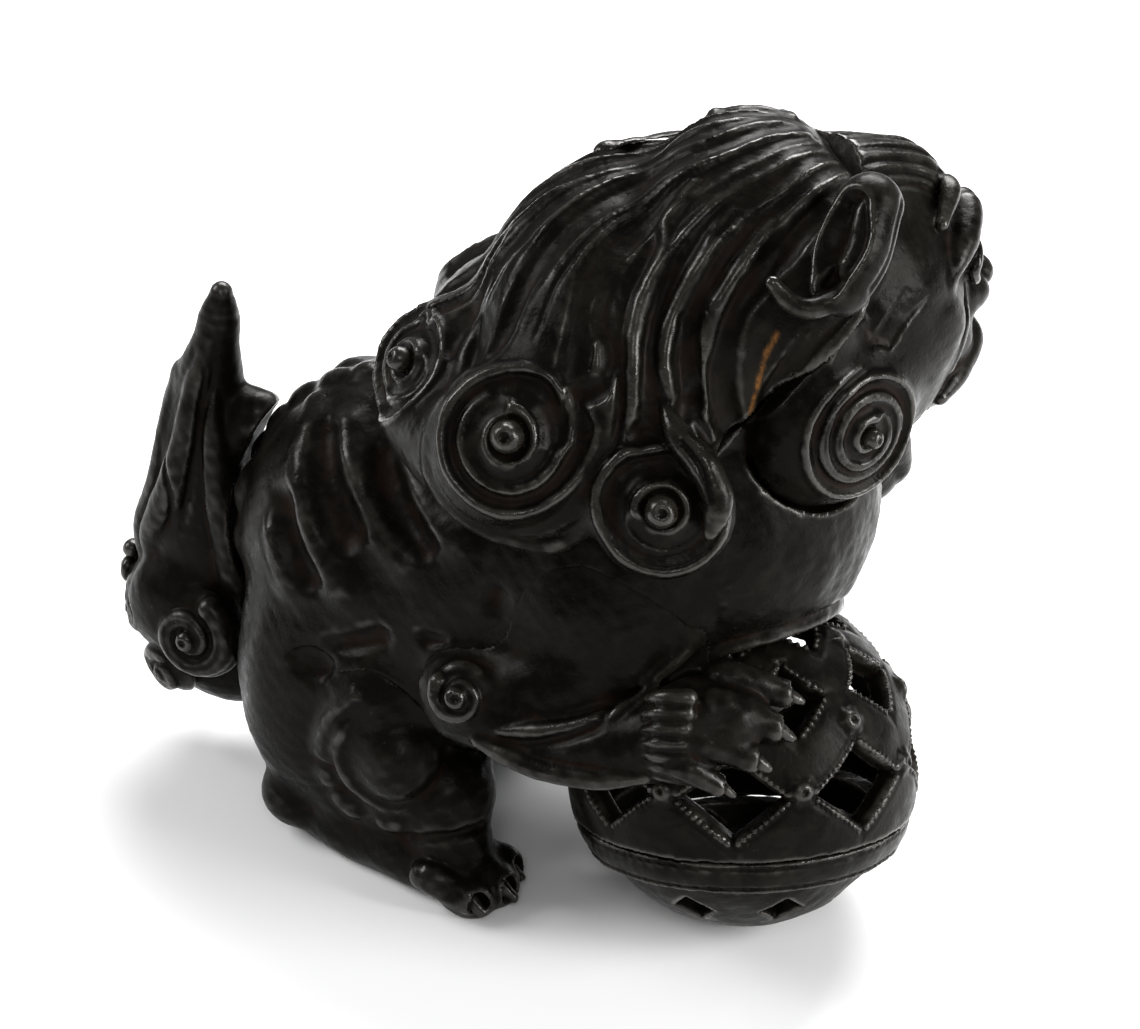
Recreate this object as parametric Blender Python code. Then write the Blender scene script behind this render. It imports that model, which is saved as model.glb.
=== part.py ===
"""Seated guardian lion with its forepaw on a pierced ball, cast in bronze as a censer.

Model space: metres, +X forward, +Y to the lion's left, +Z up, origin under the middle of the
object on the surface it stands on.  Lengths below are written in millimetres and scaled by MM.
"""
import bpy
import bmesh
import math
from mathutils import Vector, Matrix, Euler

MM = 0.001

# ----------------------------------------------------------------------------- dimensions (mm)
GAP = 0.7                 # clearance cut round a neighbouring casting
TORSO_R = 38.0            # barrel radius
TORSO_WALL = 4.5          # casting wall of the chamber
ORIGIN = (2.4, 1.7)       # from the working centre line to the middle of the finished object
BALL_R = 33.6             # outer radius of the ball
BALL_C = (50.6, -17.1, 32.0)
BALL_WALL = 3.6
BAND_N = Vector((-0.129, 0.285, 0.95)).normalized()   # pole of the ribbon's plane
BAND_TOP = -9.0           # ribbon edges, measured along BAND_N from the ball's centre
BAND_LOW = -16.0
BAND_PROUD = 1.3
HEAD_C = Vector((58.0, 16.0, 115.0))
HEAD_TURN = math.radians(52.0)      # head turned to the lion's left
LIFT_TILT = math.radians(18.0)      # the cover lifts forward and up
NECK_R = 19.0             # throat opening of the chamber
PLATE_C = (2.0, 0.0)      # belly plate centre
PLATE_R = 13.0
PLATE_Z = (24.2, 26.2)
RIVET_R = 1.1
RIVET_HEAD = 1.4
RIVET_TOP = 28.6
RIVETS = [(PLATE_C[0] + 10.8 * math.cos(a), PLATE_C[1] + 10.8 * math.sin(a))
          for a in (math.pi * (0.25 + 0.5 * k) for k in range(4))]
TENON = 7.0               # square tenon of the tail
TENON_Z = 42.0
PAW_C = (51.0, -41.0, 58.5)
PAW_PIN_R = 1.6

HEAD_F = Vector((math.cos(HEAD_TURN), math.sin(HEAD_TURN), 0.0))
HEAD_L = Vector((-math.sin(HEAD_TURN), math.cos(HEAD_TURN), 0.0))
LIFT = (HEAD_F * math.cos(LIFT_TILT) + Vector((0, 0, 1)) * math.sin(LIFT_TILT)).normalized()


def clear_scene():
    for obj in list(bpy.data.objects):
        bpy.data.objects.remove(obj, do_unlink=True)


def hw(f, l, z):
    """Head frame (forward, left, up, from the head's centre) to model space."""
    return tuple(HEAD_C + HEAD_F * f + HEAD_L * l + Vector((0, 0, z)))


def mirror_y(prims):
    out = []
    for kind, *rest in prims:
        if kind == "ball":
            c, r, rot = rest
            out.append(("ball", (c[0], -c[1], c[2]), r, (-rot[0], rot[1], -rot[2])))
        else:
            pts, radii = rest
            out.append(("limb", [(p[0], -p[1], p[2]) for p in pts], radii))
    return out


def ball(c, r, rot=(0, 0, 0)):
    if not isinstance(r, tuple):
        r = (r, r, r)
    return ("ball", c, r, rot)


def limb(pts, radii):
    return ("limb", pts, radii)


# ----------------------------------------------------------------------------- materials
def bronze(name, colour, rough):
    mat = bpy.data.materials.new(name)
    mat.use_nodes = True
    node = mat.node_tree.nodes["Principled BSDF"]
    node.inputs["Base Color"].default_value = (*colour, 1.0)
    node.inputs["Roughness"].default_value = rough
    node.inputs["Metallic"].default_value = 0.9
    return mat


# ----------------------------------------------------------------------------- shape helpers
def spline(pts, radii, step=0.45):
    """Points and radii along a smooth curve through pts, closer together where it is thin."""
    n = len(pts)
    out = []
    for i in range(n - 1):
        p0 = Vector(pts[max(i - 1, 0)])
        p1 = Vector(pts[i])
        p2 = Vector(pts[i + 1])
        p3 = Vector(pts[min(i + 2, n - 1)])
        length = (p2 - p1).length
        r = min(radii[i], radii[i + 1])
        k = max(2, int(length / max(r * step, 0.6)) + 1)
        for j in range(k):
            t = j / k
            a = -0.5 * p0 + 1.5 * p1 - 1.5 * p2 + 0.5 * p3
            b = p0 - 2.5 * p1 + 2.0 * p2 - 0.5 * p3
            c = 0.5 * p2 - 0.5 * p0
            out.append((((a * t + b) * t + c) * t + p1, radii[i] * (1 - t) + radii[i + 1] * t))
    out.append((Vector(pts[-1]), radii[-1]))
    return out


def add_ellipsoid(bm, c, r, rot, grow):
    m = (Matrix.Translation(Vector(c) * MM)
         @ Euler([math.radians(a) for a in rot]).to_matrix().to_4x4()
         @ Matrix.Diagonal([(x + grow) * MM for x in r] + [1.0]))
    bmesh.ops.create_icosphere(bm, subdivisions=3 if max(r) > 9 else 2, radius=1.0, matrix=m)


def solid_from(name, prims, grow=0.0, voxel=1.4, tris=1000, smooth=3):
    """Fuse ellipsoids and limbs into one skin, relax it, and thin it to a light mesh."""
    bm = bmesh.new()
    for kind, *rest in prims:
        if kind == "ball":
            c, r, rot = rest
            add_ellipsoid(bm, c, r, rot, grow)
        else:
            for p, r in spline(*rest):
                add_ellipsoid(bm, p, (r, r, r), (0, 0, 0), grow)
    me = bpy.data.meshes.new(name)
    bm.to_mesh(me)
    bm.free()
    obj = bpy.data.objects.new(name, me)
    bpy.context.scene.collection.objects.link(obj)
    rm = obj.modifiers.new("fuse", "REMESH")
    rm.mode = "VOXEL"
    rm.voxel_size = voxel * MM
    sm = obj.modifiers.new("relax", "SMOOTH")
    sm.factor = 0.5
    sm.iterations = smooth
    bake(obj)
    count = sum(len(p.vertices) - 2 for p in obj.data.polygons)
    dm = obj.modifiers.new("thin", "DECIMATE")
    dm.ratio = min(1.0, tris / max(count, 1))
    bake(obj)
    return obj


def bake(obj):
    """Replace an object's mesh with its evaluated one."""
    bpy.context.view_layer.update()
    deps = bpy.context.evaluated_depsgraph_get()
    me = bpy.data.meshes.new_from_object(obj.evaluated_get(deps))
    old = obj.data
    obj.modifiers.clear()
    obj.data = me
    bpy.data.meshes.remove(old)


def hide(obj):
    obj.hide_render = True
    obj.display_type = "WIRE"
    return obj


def cylinder(name, p0, p1, r, r2=None, seg=24):
    """Closed cylinder or cone from p0 to p1 (mm)."""
    a, b = Vector(p0) * MM, Vector(p1) * MM
    bm = bmesh.new()
    rot = (b - a).to_track_quat("Z", "Y").to_matrix().to_4x4()
    m = Matrix.Translation((a + b) / 2) @ rot
    bmesh.ops.create_cone(bm, cap_ends=True, segments=seg, radius1=r * MM,
                          radius2=(r if r2 is None else r2) * MM, depth=(b - a).length, matrix=m)
    me = bpy.data.meshes.new(name)
    bm.to_mesh(me)
    bm.free()
    obj = bpy.data.objects.new(name, me)
    bpy.context.scene.collection.objects.link(obj)
    return obj


def block(name, centre, size, rot=None):
    bm = bmesh.new()
    m = Matrix.Translation(Vector(centre) * MM)
    if rot is not None:
        m = m @ rot.to_4x4()
    bmesh.ops.create_cube(bm, size=1.0, matrix=m @ Matrix.Diagonal([s * MM for s in size] + [1.0]))
    me = bpy.data.meshes.new(name)
    bm.to_mesh(me)
    bm.free()
    obj = bpy.data.objects.new(name, me)
    bpy.context.scene.collection.objects.link(obj)
    return obj


def cut(obj, *tools, op="DIFFERENCE"):
    for tool in tools:
        mod = obj.modifiers.new("cut", "BOOLEAN")
        mod.operation = op
        mod.solver = "EXACT"
        mod.object = hide(tool)
    bake(obj)
    return obj


def tidy(obj):
    """Merge the slivers that cutting leaves, and keep the largest body."""
    bm = bmesh.new()
    bm.from_mesh(obj.data)
    bmesh.ops.remove_doubles(bm, verts=bm.verts, dist=0.00012)
    bmesh.ops.dissolve_degenerate(bm, edges=bm.edges, dist=0.00008)
    bmesh.ops.triangulate(bm, faces=bm.faces)
    seen, groups = set(), []
    for v in bm.verts:
        if v in seen:
            continue
        stack, group = [v], []
        seen.add(v)
        while stack:
            a = stack.pop()
            group.append(a)
            for e in a.link_edges:
                b = e.other_vert(a)
                if b not in seen:
                    seen.add(b)
                    stack.append(b)
        groups.append(group)
    groups.sort(key=len)
    for group in groups[:-1]:
        bmesh.ops.delete(bm, geom=group, context="VERTS")
    bm.to_mesh(obj.data)
    bm.free()


def finish(obj, mat, angle=50.0):
    obj.data.materials.clear()
    obj.data.materials.append(mat)
    obj.data.shade_smooth()
    obj.data.set_sharp_from_angle(angle=math.radians(angle))
    return obj


# ----------------------------------------------------------------------------- the castings
TORSO = [
    limb([(-18, 0, 48), (4, 0, 63), (32, 0, 82)], [37, TORSO_R, TORSO_R]),
    ball((-23, 0, 59), (38, 33, 37), (0, -30, 0)),
    ball((-30, 0, 29), (30, 31, 26)),
    ball((-32, -16, 36), (24, 20, 30)), ball((-32, 16, 36), (24, 20, 30)),
]

MANE = [
    ball((4, 0, 102), (27, 37, 25), (0, -22, 0)),
    ball((24, 2, 113), (33, 41, 35), (0, -20, 0)),
    ball((40, 5, 122), (25, 33, 36)),
    ball(hw(-17, 0, 9), (19, 30.5, 33), (0, 0, 52)),
    limb([(-8, -24, 102), (3, -33, 102), (12, -37, 104)], [11, 12, 12]),
    limb([(-8, 24, 102), (3, 33, 102), (12, 37, 104)], [11, 12, 12]),
    ball((10, -36, 105), (14, 8, 14)), ball((10, 36, 105), (14, 8, 14)),
    ball((39, -36, 99), (11, 8, 11)), ball((34, 39, 99), (11, 8, 11)),
    ball((-15, -14, 104), (9, 9, 11)), ball((-15, 14, 104), (9, 9, 11)),
]

HEAD = [
    ball(hw(-5, 0, 4), (26, 26, 30.5), (0, 0, 52)),
    ball(hw(-19, -21, -6), (16, 9, 17), (0, 0, 52)),
    ball(hw(-19, 21, -6), (16, 9, 17), (0, 0, 52)),
    limb([hw(-4, 0, 24), hw(8, 0, 25), hw(16, 0, 17)], [14, 10, 8]),
    ball(hw(14.5, -8, 16), (7.5, 8, 7), (0, 0, 52)), ball(hw(14.5, 8, 16), (7.5, 8, 7), (0, 0, 52)),
    ball(hw(19, 0, 1), (11.5, 11, 7.5), (0, 0, 52)),
    ball(hw(14, -8, -5), (9, 7.5, 6.5), (0, 0, 52)), ball(hw(14, 8, -5), (9, 7.5, 6.5), (0, 0, 52)),
    ball(hw(-2, 0, -19), (13.0, 13, 12), (0, 0, 52)),
    limb([hw(-2, 0, -24), hw(4, 0, -32), hw(9, 0, -37)], [12, 9, 5.2]),
]

TAIL = [
    limb([(-71, 0, 30), (-72, 0, 50), (-70.5, 0, 68), (-69, 0, 84), (-66, 0, 98), (-64.8, 0, 106)],
         [12, 11.5, 9.5, 6.8, 4.4, 2.3]),
    limb([(-75, 0, 38), (-76.5, 0, 54), (-76, 0, 70), (-74.8, 0, 86)], [11, 8.5, 5.0, 2.3]),
    limb([(-66, 0, 74), (-60, 0, 79), (-56, 0, 79)], [8, 6, 4]),
    ball((-65, 0, 46), (8, 9, 24)),
    ball((-75, -9, 35), (11, 7, 12)), ball((-75, 9, 35), (11, 7, 12)),
    ball((-81.5, 0, 34), (8.5, 10, 8)), ball((-72, 0, 21), (9, 10, 11)),
    ball((-67, 0, 22), (12, 9, 14)),
]

HIND = [
    ball((-31, -25, 30), (20, 13, 26)),
    ball((-18.5, -34, 34), (12, 9, 17)),
    limb([(-26, -28, 15), (-13, -31, 20), (-5, -32, 22)], [9, 10, 9]),
    limb([(-39, -24, 5.5), (-28, -29, 6), (-14, -33, 6.5), (-2, -36.5, 6.5)], [6.4, 7.4, 7.8, 7.4]),
    limb([(-6, -33, 20), (-3, -35, 12)], [8.5, 7.5]),
    ball((2.5, -41.5, 4), (5.5, 4, 5)), ball((5.5, -36.5, 4), (5.5, 4, 5.2)),
    ball((5, -30.5, 4), (5, 4, 5)),
]

FORE_R = [
    ball((27, -29, 66), (20, 14, 23), (0, 10, 0)),
    limb([(22, -34, 57), (10, -39, 53), (3, -41, 52)], [12, 9, 7.5]),
    ball((0.5, -42, 53.5), (7, 5.5, 7)),
    limb([(3, -41, 50), (20, -44, 49), (36, -45, 51.5), (47, -43, 57)], [7, 7, 7.5, 8.5]),
    ball((51, -41, 58.5), (11, 9.5, 7.5), (0, -12, 12)),
    ball((59, -43, 55.5), (5, 3.6, 4.2)), ball((61.5, -37.5, 58), (5, 3.6, 4.2)),
    ball((61, -32, 60.5), (5, 3.6, 4.2)),
]

FORE_L = [
    ball((24, 30, 66), (19, 13, 23), (0, 10, 0)),
    limb([(24, 34, 58), (25, 35, 40), (27, 35, 22), (30, 35, 10)], [12, 9, 7.5, 8]),
    ball((34, 35, 5), (11, 9, 7.4)),
    ball((42, 30.5, 4), (5, 3.6, 5)), ball((43.5, 35.5, 4), (5, 3.6, 5.2)),
    ball((42, 40.5, 4), (5, 3.6, 5)),
]


# the face cover ends at a plane that runs from the forehead down behind the cheek curls
PART_N = (HEAD_F * 0.76 + Vector((0, 0, -0.645))).normalized()


def behind_parting(name, shift):
    """A block filling everything behind the parting plane, moved forward by shift."""
    p = Vector(hw(0, 0, 40)) + PART_N * shift
    rot = PART_N.to_track_quat("Z", "Y").to_matrix()
    return block(name, p - PART_N * 60, (240, 240, 120), rot)


def before_parting(name):
    """A block in front of the parting plane, from the forehead down to the cheek curls."""
    down = HEAD_F * -0.645 + Vector((0, 0, -0.76))
    rot = Matrix((HEAD_L, PART_N.cross(HEAD_L), PART_N)).transposed()
    return block(name, Vector(hw(0, 0, 40)) + PART_N * 59.8 + down.normalized() * 22,
                 (100, 84, 120), rot)


def ear(side):
    if side < 0:
        body = [(-14, -24, 38), (-20, -26.5, 31), (-23, -27, 23)]
        tip = [(-23, -27, 23), (-30, -28, 25), (-37, -30.5, 29)]
    else:                                # the far ear is laid back along the mane
        body = [(-12, 25, 28), (-19, 28, 28.5), (-26, 30, 28.5)]
        tip = [(-26, 30, 28.5), (-33, 31, 30), (-38, 31.5, 31.5)]
    return [limb([hw(*p) for p in body], [5.2, 6.6, 4.8]),
            limb([hw(*p) for p in tip], [4.8, 4.0, 2.8])]


def floor_cut(name):
    """A block under the ground plane, to give a foot its flat sole."""
    return block(name, (0, 0, -30), (400, 300, 60))


def build_ball(mat_ball, mat_band):
    c = Vector(BALL_C)
    frame = BAND_N.to_track_quat("Z", "X").to_matrix()

    def sphere(name, r, sub=5):
        bm = bmesh.new()
        bmesh.ops.create_icosphere(bm, subdivisions=sub, radius=r * MM,
                                   matrix=Matrix.Translation(c * MM) @ frame.to_4x4())
        me = bpy.data.meshes.new(name)
        bm.to_mesh(me)
        bm.free()
        obj = bpy.data.objects.new(name, me)
        bpy.context.scene.collection.objects.link(obj)
        return obj

    def window(name, direction, half, corners=4, spin=0.0):
        """Square or slot shaped piercing, tapering towards the ball's centre."""
        d = Vector(direction).normalized()
        bm = bmesh.new()
        q = d.to_track_quat("Z", "Y").to_matrix().to_4x4()
        m = (Matrix.Translation((c + d * (BALL_R - 1.5)) * MM) @ q
             @ Matrix.Rotation(math.radians(spin), 4, "Z")
             @ Matrix.Diagonal([half[0] * MM, half[1] * MM, MM, 1.0]))
        bmesh.ops.create_cone(bm, cap_ends=True, segments=corners, radius1=0.8, radius2=1.05,
                              depth=14.0, matrix=m)
        me = bpy.data.meshes.new(name)
        bm.to_mesh(me)
        bm.free()
        obj = bpy.data.objects.new(name, me)
        bpy.context.scene.collection.objects.link(obj)
        return hide(obj)

    def slab(name, lo, hi, r=60.0):
        return cylinder(name, c + BAND_N * lo, c + BAND_N * hi, r, seg=48)

    upper = sphere("ball_upper", BALL_R, 3)
    cut(upper, sphere("ball_hollow", BALL_R - BALL_WALL, 3),
        slab("ball_below", -60, BAND_TOP + 0.2))
    windows = []
    first = WINDOW_DIR - BAND_N * WINDOW_DIR.dot(BAND_N)
    first.normalize()
    for k in range(8):
        side = Matrix.Rotation(math.radians(45 * k), 3, BAND_N) @ first
        low = side * math.cos(math.radians(6)) + BAND_N * math.sin(math.radians(6))
        windows.append(window("window_low_%d" % k, low, (8.0, 7.6)))
    for k in CROWN:
        side = Matrix.Rotation(math.radians(45 * k + 22.5), 3, BAND_N) @ first
        high = side * math.cos(math.radians(44)) + BAND_N * math.sin(math.radians(44))
        windows.append(window("window_high_%d" % k, high, (5.5, 5.0)))
    d = (Vector(PAW_C) - c).normalized()
    windows.append(cylinder("pin_hole", c + d * 20, c + d * 45, PAW_PIN_R + 0.4, seg=16))
    cut(upper, *windows)
    tidy(upper)

    lower = sphere("ball_lower", LOWER_R, 3)
    foot = cylinder("ball_foot", (c.x, c.y, 0.0), (c.x, c.y, 6.0), 10.5, 12.5, seg=32)
    cut(lower, foot, op="UNION")
    cut(lower, sphere("ball_hollow_low", LOWER_R - BALL_WALL, 3),
        slab("ball_above", BAND_LOW - 0.2, 60), floor_cut("ball_floor"))
    tidy(lower)

    ribbon = slab("ball_ribbon", BAND_LOW + 0.2, BAND_TOP - 0.2, BALL_R + BAND_PROUD)
    bore = cylinder("ribbon_bore", c + BAND_N * (BAND_LOW - 5), c + BAND_N * (BAND_TOP + 5),
                    BALL_R - BALL_WALL - 4.5, seg=48)
    cut(ribbon, bore, floor_cut("ribbon_floor"))
    # round the ribbon to the ball's own curve, a little proud of it
    cut(ribbon, sphere("ribbon_skin", BALL_R + BAND_PROUD, 3), op="INTERSECT")
    tidy(ribbon)
    return [finish(upper, mat_ball), finish(lower, mat_ball), finish(ribbon, mat_band)]


LOWER_R = 31.8                              # the cup under the ribbon is a little smaller
WINDOW_DIR = Vector((0.82, -0.44, 0.36))    # the largest window, front right
CROWN = (0, 1, 2, 3, 4, 7)                  # upper windows; the paw covers the other two


def settle():
    """Drop the cutters, bring the object over its origin, put the cover's origin on its axis."""
    for obj in list(bpy.data.objects):
        if obj.hide_render:
            bpy.data.objects.remove(obj, do_unlink=True)
    shift = Vector((ORIGIN[0], ORIGIN[1], 0.0)) * MM
    for obj in bpy.data.objects:
        pivot = HEAD_C * MM + shift if obj.name == "head_cover" else Vector((0, 0, 0))
        obj.data.transform(Matrix.Translation(shift - pivot))
        obj.location = pivot


def main():
    clear_scene()
    body = bronze("bronze_body", (0.075, 0.062, 0.045), 0.38)
    head_m = bronze("bronze_head", (0.085, 0.070, 0.048), 0.36)
    mane_m = bronze("bronze_mane", (0.080, 0.067, 0.047), 0.38)
    leg_m = bronze("bronze_legs", (0.070, 0.058, 0.043), 0.42)
    tail_m = bronze("bronze_tail", (0.065, 0.053, 0.041), 0.42)
    ball_m = bronze("bronze_ball", (0.075, 0.064, 0.048), 0.40)
    band_m = bronze("bronze_ribbon", (0.080, 0.068, 0.050), 0.35)
    pin_m = bronze("bronze_pins", (0.120, 0.085, 0.045), 0.45)
    plate_m = bronze("bronze_plate", (0.060, 0.052, 0.042), 0.45)

    torso_room = solid_from("torso_room", TORSO, grow=GAP, tris=1500, voxel=2.0)
    head_solid = HEAD
    sweep = []
    for k in range(0, 11):
        d = LIFT * (k * 2.5)
        for kind, *rest in head_solid:
            if kind == "ball":
                p, r, rot = rest
                sweep.append(ball(tuple(Vector(p) + d), r, rot))
            else:
                pts, radii = rest
                sweep.append(limb([tuple(Vector(p) + d) for p in pts], radii))
    head_room = solid_from("head_room", sweep, grow=GAP, tris=1600, voxel=1.8)
    cut(head_room, behind_parting("part_room", -0.2))

    # --- torso: hollow barrel, open at the throat, core hole under the belly
    torso = solid_from("torso_shell", TORSO, tris=1300, voxel=2.0)
    chamber = solid_from("chamber", [
        limb([(-20, 0, 47), (4, 0, 63), (26, 0, 84)], [31, 33, 31]),
        ball((-28, 0, 34), (22, 24, 24)),
    ], tris=500, voxel=2.0)
    cut(chamber, solid_from("ball_keepout", [ball(BALL_C, BALL_R + 5.5)], tris=400, voxel=2.0))
    throat = cylinder("throat", (36, 5, 84), (36, 5, 150), NECK_R, seg=32)
    core_hole = cylinder("core_hole", (*PLATE_C, 15), (*PLATE_C, 45), 9.0)
    recess = cylinder("plate_recess", (*PLATE_C, -5), (*PLATE_C, PLATE_Z[1] + 0.3),
                      PLATE_R + 0.5, seg=32)
    ball_seat = solid_from("ball_seat", [ball(BALL_C, BALL_R + 1.6)], tris=700, voxel=2.0)
    tenon_hole = block("tenon_hole", (-66, 0, TENON_Z), (25.6, TENON + 0.8, TENON + 0.8))
    rivet_holes = [cylinder("rivet_hole_%d" % (k + 1), (x, y, PLATE_Z[1] - 1), (x, y, RIVET_TOP + 0.4),
                            RIVET_R + 0.4, seg=12) for k, (x, y) in enumerate(RIVETS)]
    cut(torso, chamber, throat, core_hole, recess, ball_seat, head_room, tenon_hole,
        floor_cut("torso_floor"), *rivet_holes)
    tidy(torso)
    finish(torso, body)

    # --- mane: a hood with a thin rim over the torso, open through to the head
    mane = solid_from("mane_shell", MANE, tris=2000, voxel=1.6)
    neck_way = solid_from("neck_way", [
        limb([(32, 3, 100), (40, 7, 116), (50, 14, 118)], [26, 25, 20]),
    ], tris=400, voxel=1.8)
    cut(mane, torso_room, neck_way, head_room, before_parting("mane_front"))
    tidy(mane)
    finish(mane, mane_m)
    mane_room = solid_from("mane_room", MANE, grow=GAP, tris=2000, voxel=1.6)

    # --- head cover: hollow, open behind, open mouth
    head = solid_from("head_cover", HEAD, tris=1500, voxel=1.4)
    hollow = solid_from("head_hollow", [
        limb([hw(-30, 0, 2), hw(-6, 0, 4), hw(4, 0, 2)], [20, 22, 17]),
        limb([hw(-6, 0, -12), hw(6, 0, -14)], [12, 9]),
    ], tris=400, voxel=1.6)
    mouth = block("mouth", hw(22, 0, -15.0), (34, 19, 6.2), Matrix.Rotation(HEAD_TURN, 3, "Z"))
    cut(head, hollow, mouth, behind_parting("part_head", 0.5))
    tidy(head)
    finish(head, head_m)

    for side, name in ((-1, "ear_right"), (1, "ear_left")):
        e = solid_from(name, ear(side), tris=260, voxel=0.9)
        cut(e, head_room, mane_room)
        tidy(e)
        finish(e, head_m)

    # --- tail with its tenon
    tail = solid_from("tail_plume", TAIL, tris=700, voxel=1.4)
    cut(tail, torso_room, block("tail_socket", (-60, 0, TENON_Z), (29, TENON + 0.8, TENON + 0.8)),
        floor_cut("tail_floor"))
    tidy(tail)
    finish(tail, tail_m)
    tenon = block("tail_tenon", (-64, 0, TENON_Z), (20, TENON, TENON))
    finish(tenon, pin_m)

    # --- legs
    ball_room = solid_from("ball_room", [ball(BALL_C, BALL_R + 1.6)], tris=1200, voxel=1.6)
    for name, prims, room in (("hindleg_right", HIND, ()), ("hindleg_left", mirror_y(HIND), ()),
                              ("foreleg_right", FORE_R, (ball_room,)),
                              ("foreleg_left", FORE_L, (ball_room,))):
        leg = solid_from(name, prims, tris=560, voxel=1.3)
        if name == "foreleg_right":
            c = Vector(BALL_C)
            d = (Vector(PAW_C) - c).normalized()
            room = (ball_room, cylinder("paw_hole", c + d * 30.0, c + d * 38.6, PAW_PIN_R + 0.4,
                                        seg=16))
        cut(leg, torso_room, mane_room, floor_cut(name + "_floor"), *room)
        tidy(leg)
        finish(leg, leg_m)

    build_ball(ball_m, band_m)

    # --- belly plate and its rivets
    plate = cylinder("belly_plate", (*PLATE_C, PLATE_Z[0]), (*PLATE_C, PLATE_Z[1]), PLATE_R, seg=32)
    for k, (x, y) in enumerate(RIVETS):
        hole = cylinder("plate_hole_%d" % (k + 1), (x, y, 10), (x, y, 40), RIVET_R + 0.4, seg=12)
        cut(plate, hole)
        rivet = cylinder("belly_rivet_%d" % (k + 1), (x, y, PLATE_Z[0] - 0.4 - RIVET_HEAD),
                         (x, y, PLATE_Z[0] - 0.4), RIVET_R * 1.3, RIVET_R * 2.0, seg=12)
        shank = cylinder("shank_%d" % (k + 1), (x, y, PLATE_Z[0] - 0.4 - 0.5 * RIVET_HEAD),
                         (x, y, RIVET_TOP), RIVET_R, seg=12)
        cut(rivet, shank, op="UNION")
        finish(rivet, pin_m)
    finish(plate, plate_m)

    # --- the rivet that ties the paw to the ball, its head inside the ball
    c = Vector(BALL_C)
    d = (Vector(PAW_C) - c).normalized()
    paw_rivet = cylinder("paw_rivet", c + d * 26.2, c + d * 29.0, 3.4, seg=16)
    cut(paw_rivet, cylinder("paw_shank", c + d * 27.5, c + d * 38.0, PAW_PIN_R, seg=16), op="UNION")
    finish(paw_rivet, pin_m)

    settle()


main()
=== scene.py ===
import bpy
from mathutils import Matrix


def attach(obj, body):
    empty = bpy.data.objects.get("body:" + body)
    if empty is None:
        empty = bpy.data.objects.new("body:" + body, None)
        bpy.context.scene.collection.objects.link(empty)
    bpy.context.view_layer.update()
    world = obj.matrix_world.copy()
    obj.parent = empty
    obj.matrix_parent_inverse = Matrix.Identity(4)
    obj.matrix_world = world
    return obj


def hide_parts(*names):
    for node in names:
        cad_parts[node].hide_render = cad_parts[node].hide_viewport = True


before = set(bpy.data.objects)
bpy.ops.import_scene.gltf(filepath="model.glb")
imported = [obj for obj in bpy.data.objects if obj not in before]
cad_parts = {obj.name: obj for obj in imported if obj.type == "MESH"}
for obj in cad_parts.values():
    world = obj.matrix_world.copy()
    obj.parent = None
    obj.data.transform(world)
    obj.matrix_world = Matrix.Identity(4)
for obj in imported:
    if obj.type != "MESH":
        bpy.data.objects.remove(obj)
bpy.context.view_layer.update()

# Seated guardian lion censer in dark patinated bronze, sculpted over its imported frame.
#
# Every casting is modelled as a signed distance field on a fine grid (fused forms, hair locks,
# spiral curls, grooves and piercings), then turned into one closed mesh.  Lengths are millimetres
# until a mesh is made; the field's X and Y run from the lion's centre line, and SHIFT brings them
# to the frame's origin.

import bpy
import math
import numpy as np
from mathutils import Vector

MM = 0.001
SHIFT = np.array([2.4, 1.7, 0.0])      # centre line to the frame's origin
FAR = 7.0                              # distance beyond which the field is not kept
QUALITY = 1.0   # grid pitch multiplier

HEAD_C = np.array([58.0, 16.0, 115.0])
TURN = math.radians(52.0)
HF = np.array([math.cos(TURN), math.sin(TURN), 0.0])       # head forward
HL = np.array([-math.sin(TURN), math.cos(TURN), 0.0])      # head left
UZ = np.array([0.0, 0.0, 1.0])
LIFT = HF * math.cos(math.radians(18)) + UZ * math.sin(math.radians(18))
PART_N = HF * 0.76 - UZ * 0.645
PART_N = PART_N / np.linalg.norm(PART_N)
BALL_C = np.array([50.6, -17.1, 32.0])
BALL_R = 33.6
LOWER_R = 31.8
BAND_N = np.array([-0.129, 0.285, 0.95])
BAND_N = BAND_N / np.linalg.norm(BAND_N)
BAND_TOP, BAND_LOW, BAND_PROUD = -9.0, -16.0, 1.3
PAW_C = np.array([51.0, -41.0, 58.5])
PLATE_C = (2.0, 0.0)


def unit(v):
    v = np.asarray(v, float)
    return v / np.linalg.norm(v)


def hw(f, l, z):
    """Head frame (forward, left, up from the head's centre) to model space."""
    return tuple(HEAD_C + HF * f + HL * l + UZ * z)


def euler(rot):
    x, y, z = [math.radians(a) for a in rot]
    cx, sx, cy, sy, cz, sz = math.cos(x), math.sin(x), math.cos(y), math.sin(y), math.cos(z), math.sin(z)
    rx = np.array([[1, 0, 0], [0, cx, -sx], [0, sx, cx]])
    ry = np.array([[cy, 0, sy], [0, 1, 0], [-sy, 0, cy]])
    rz = np.array([[cz, -sz, 0], [sz, cz, 0], [0, 0, 1]])
    return rz @ ry @ rx


# ----------------------------------------------------------------------------- field shapes
class Shape:
    """A distance function with the box it lives in."""

    def __init__(self, lo, hi, fn):
        self.lo, self.hi, self.fn = np.array(lo, float), np.array(hi, float), fn


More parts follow.
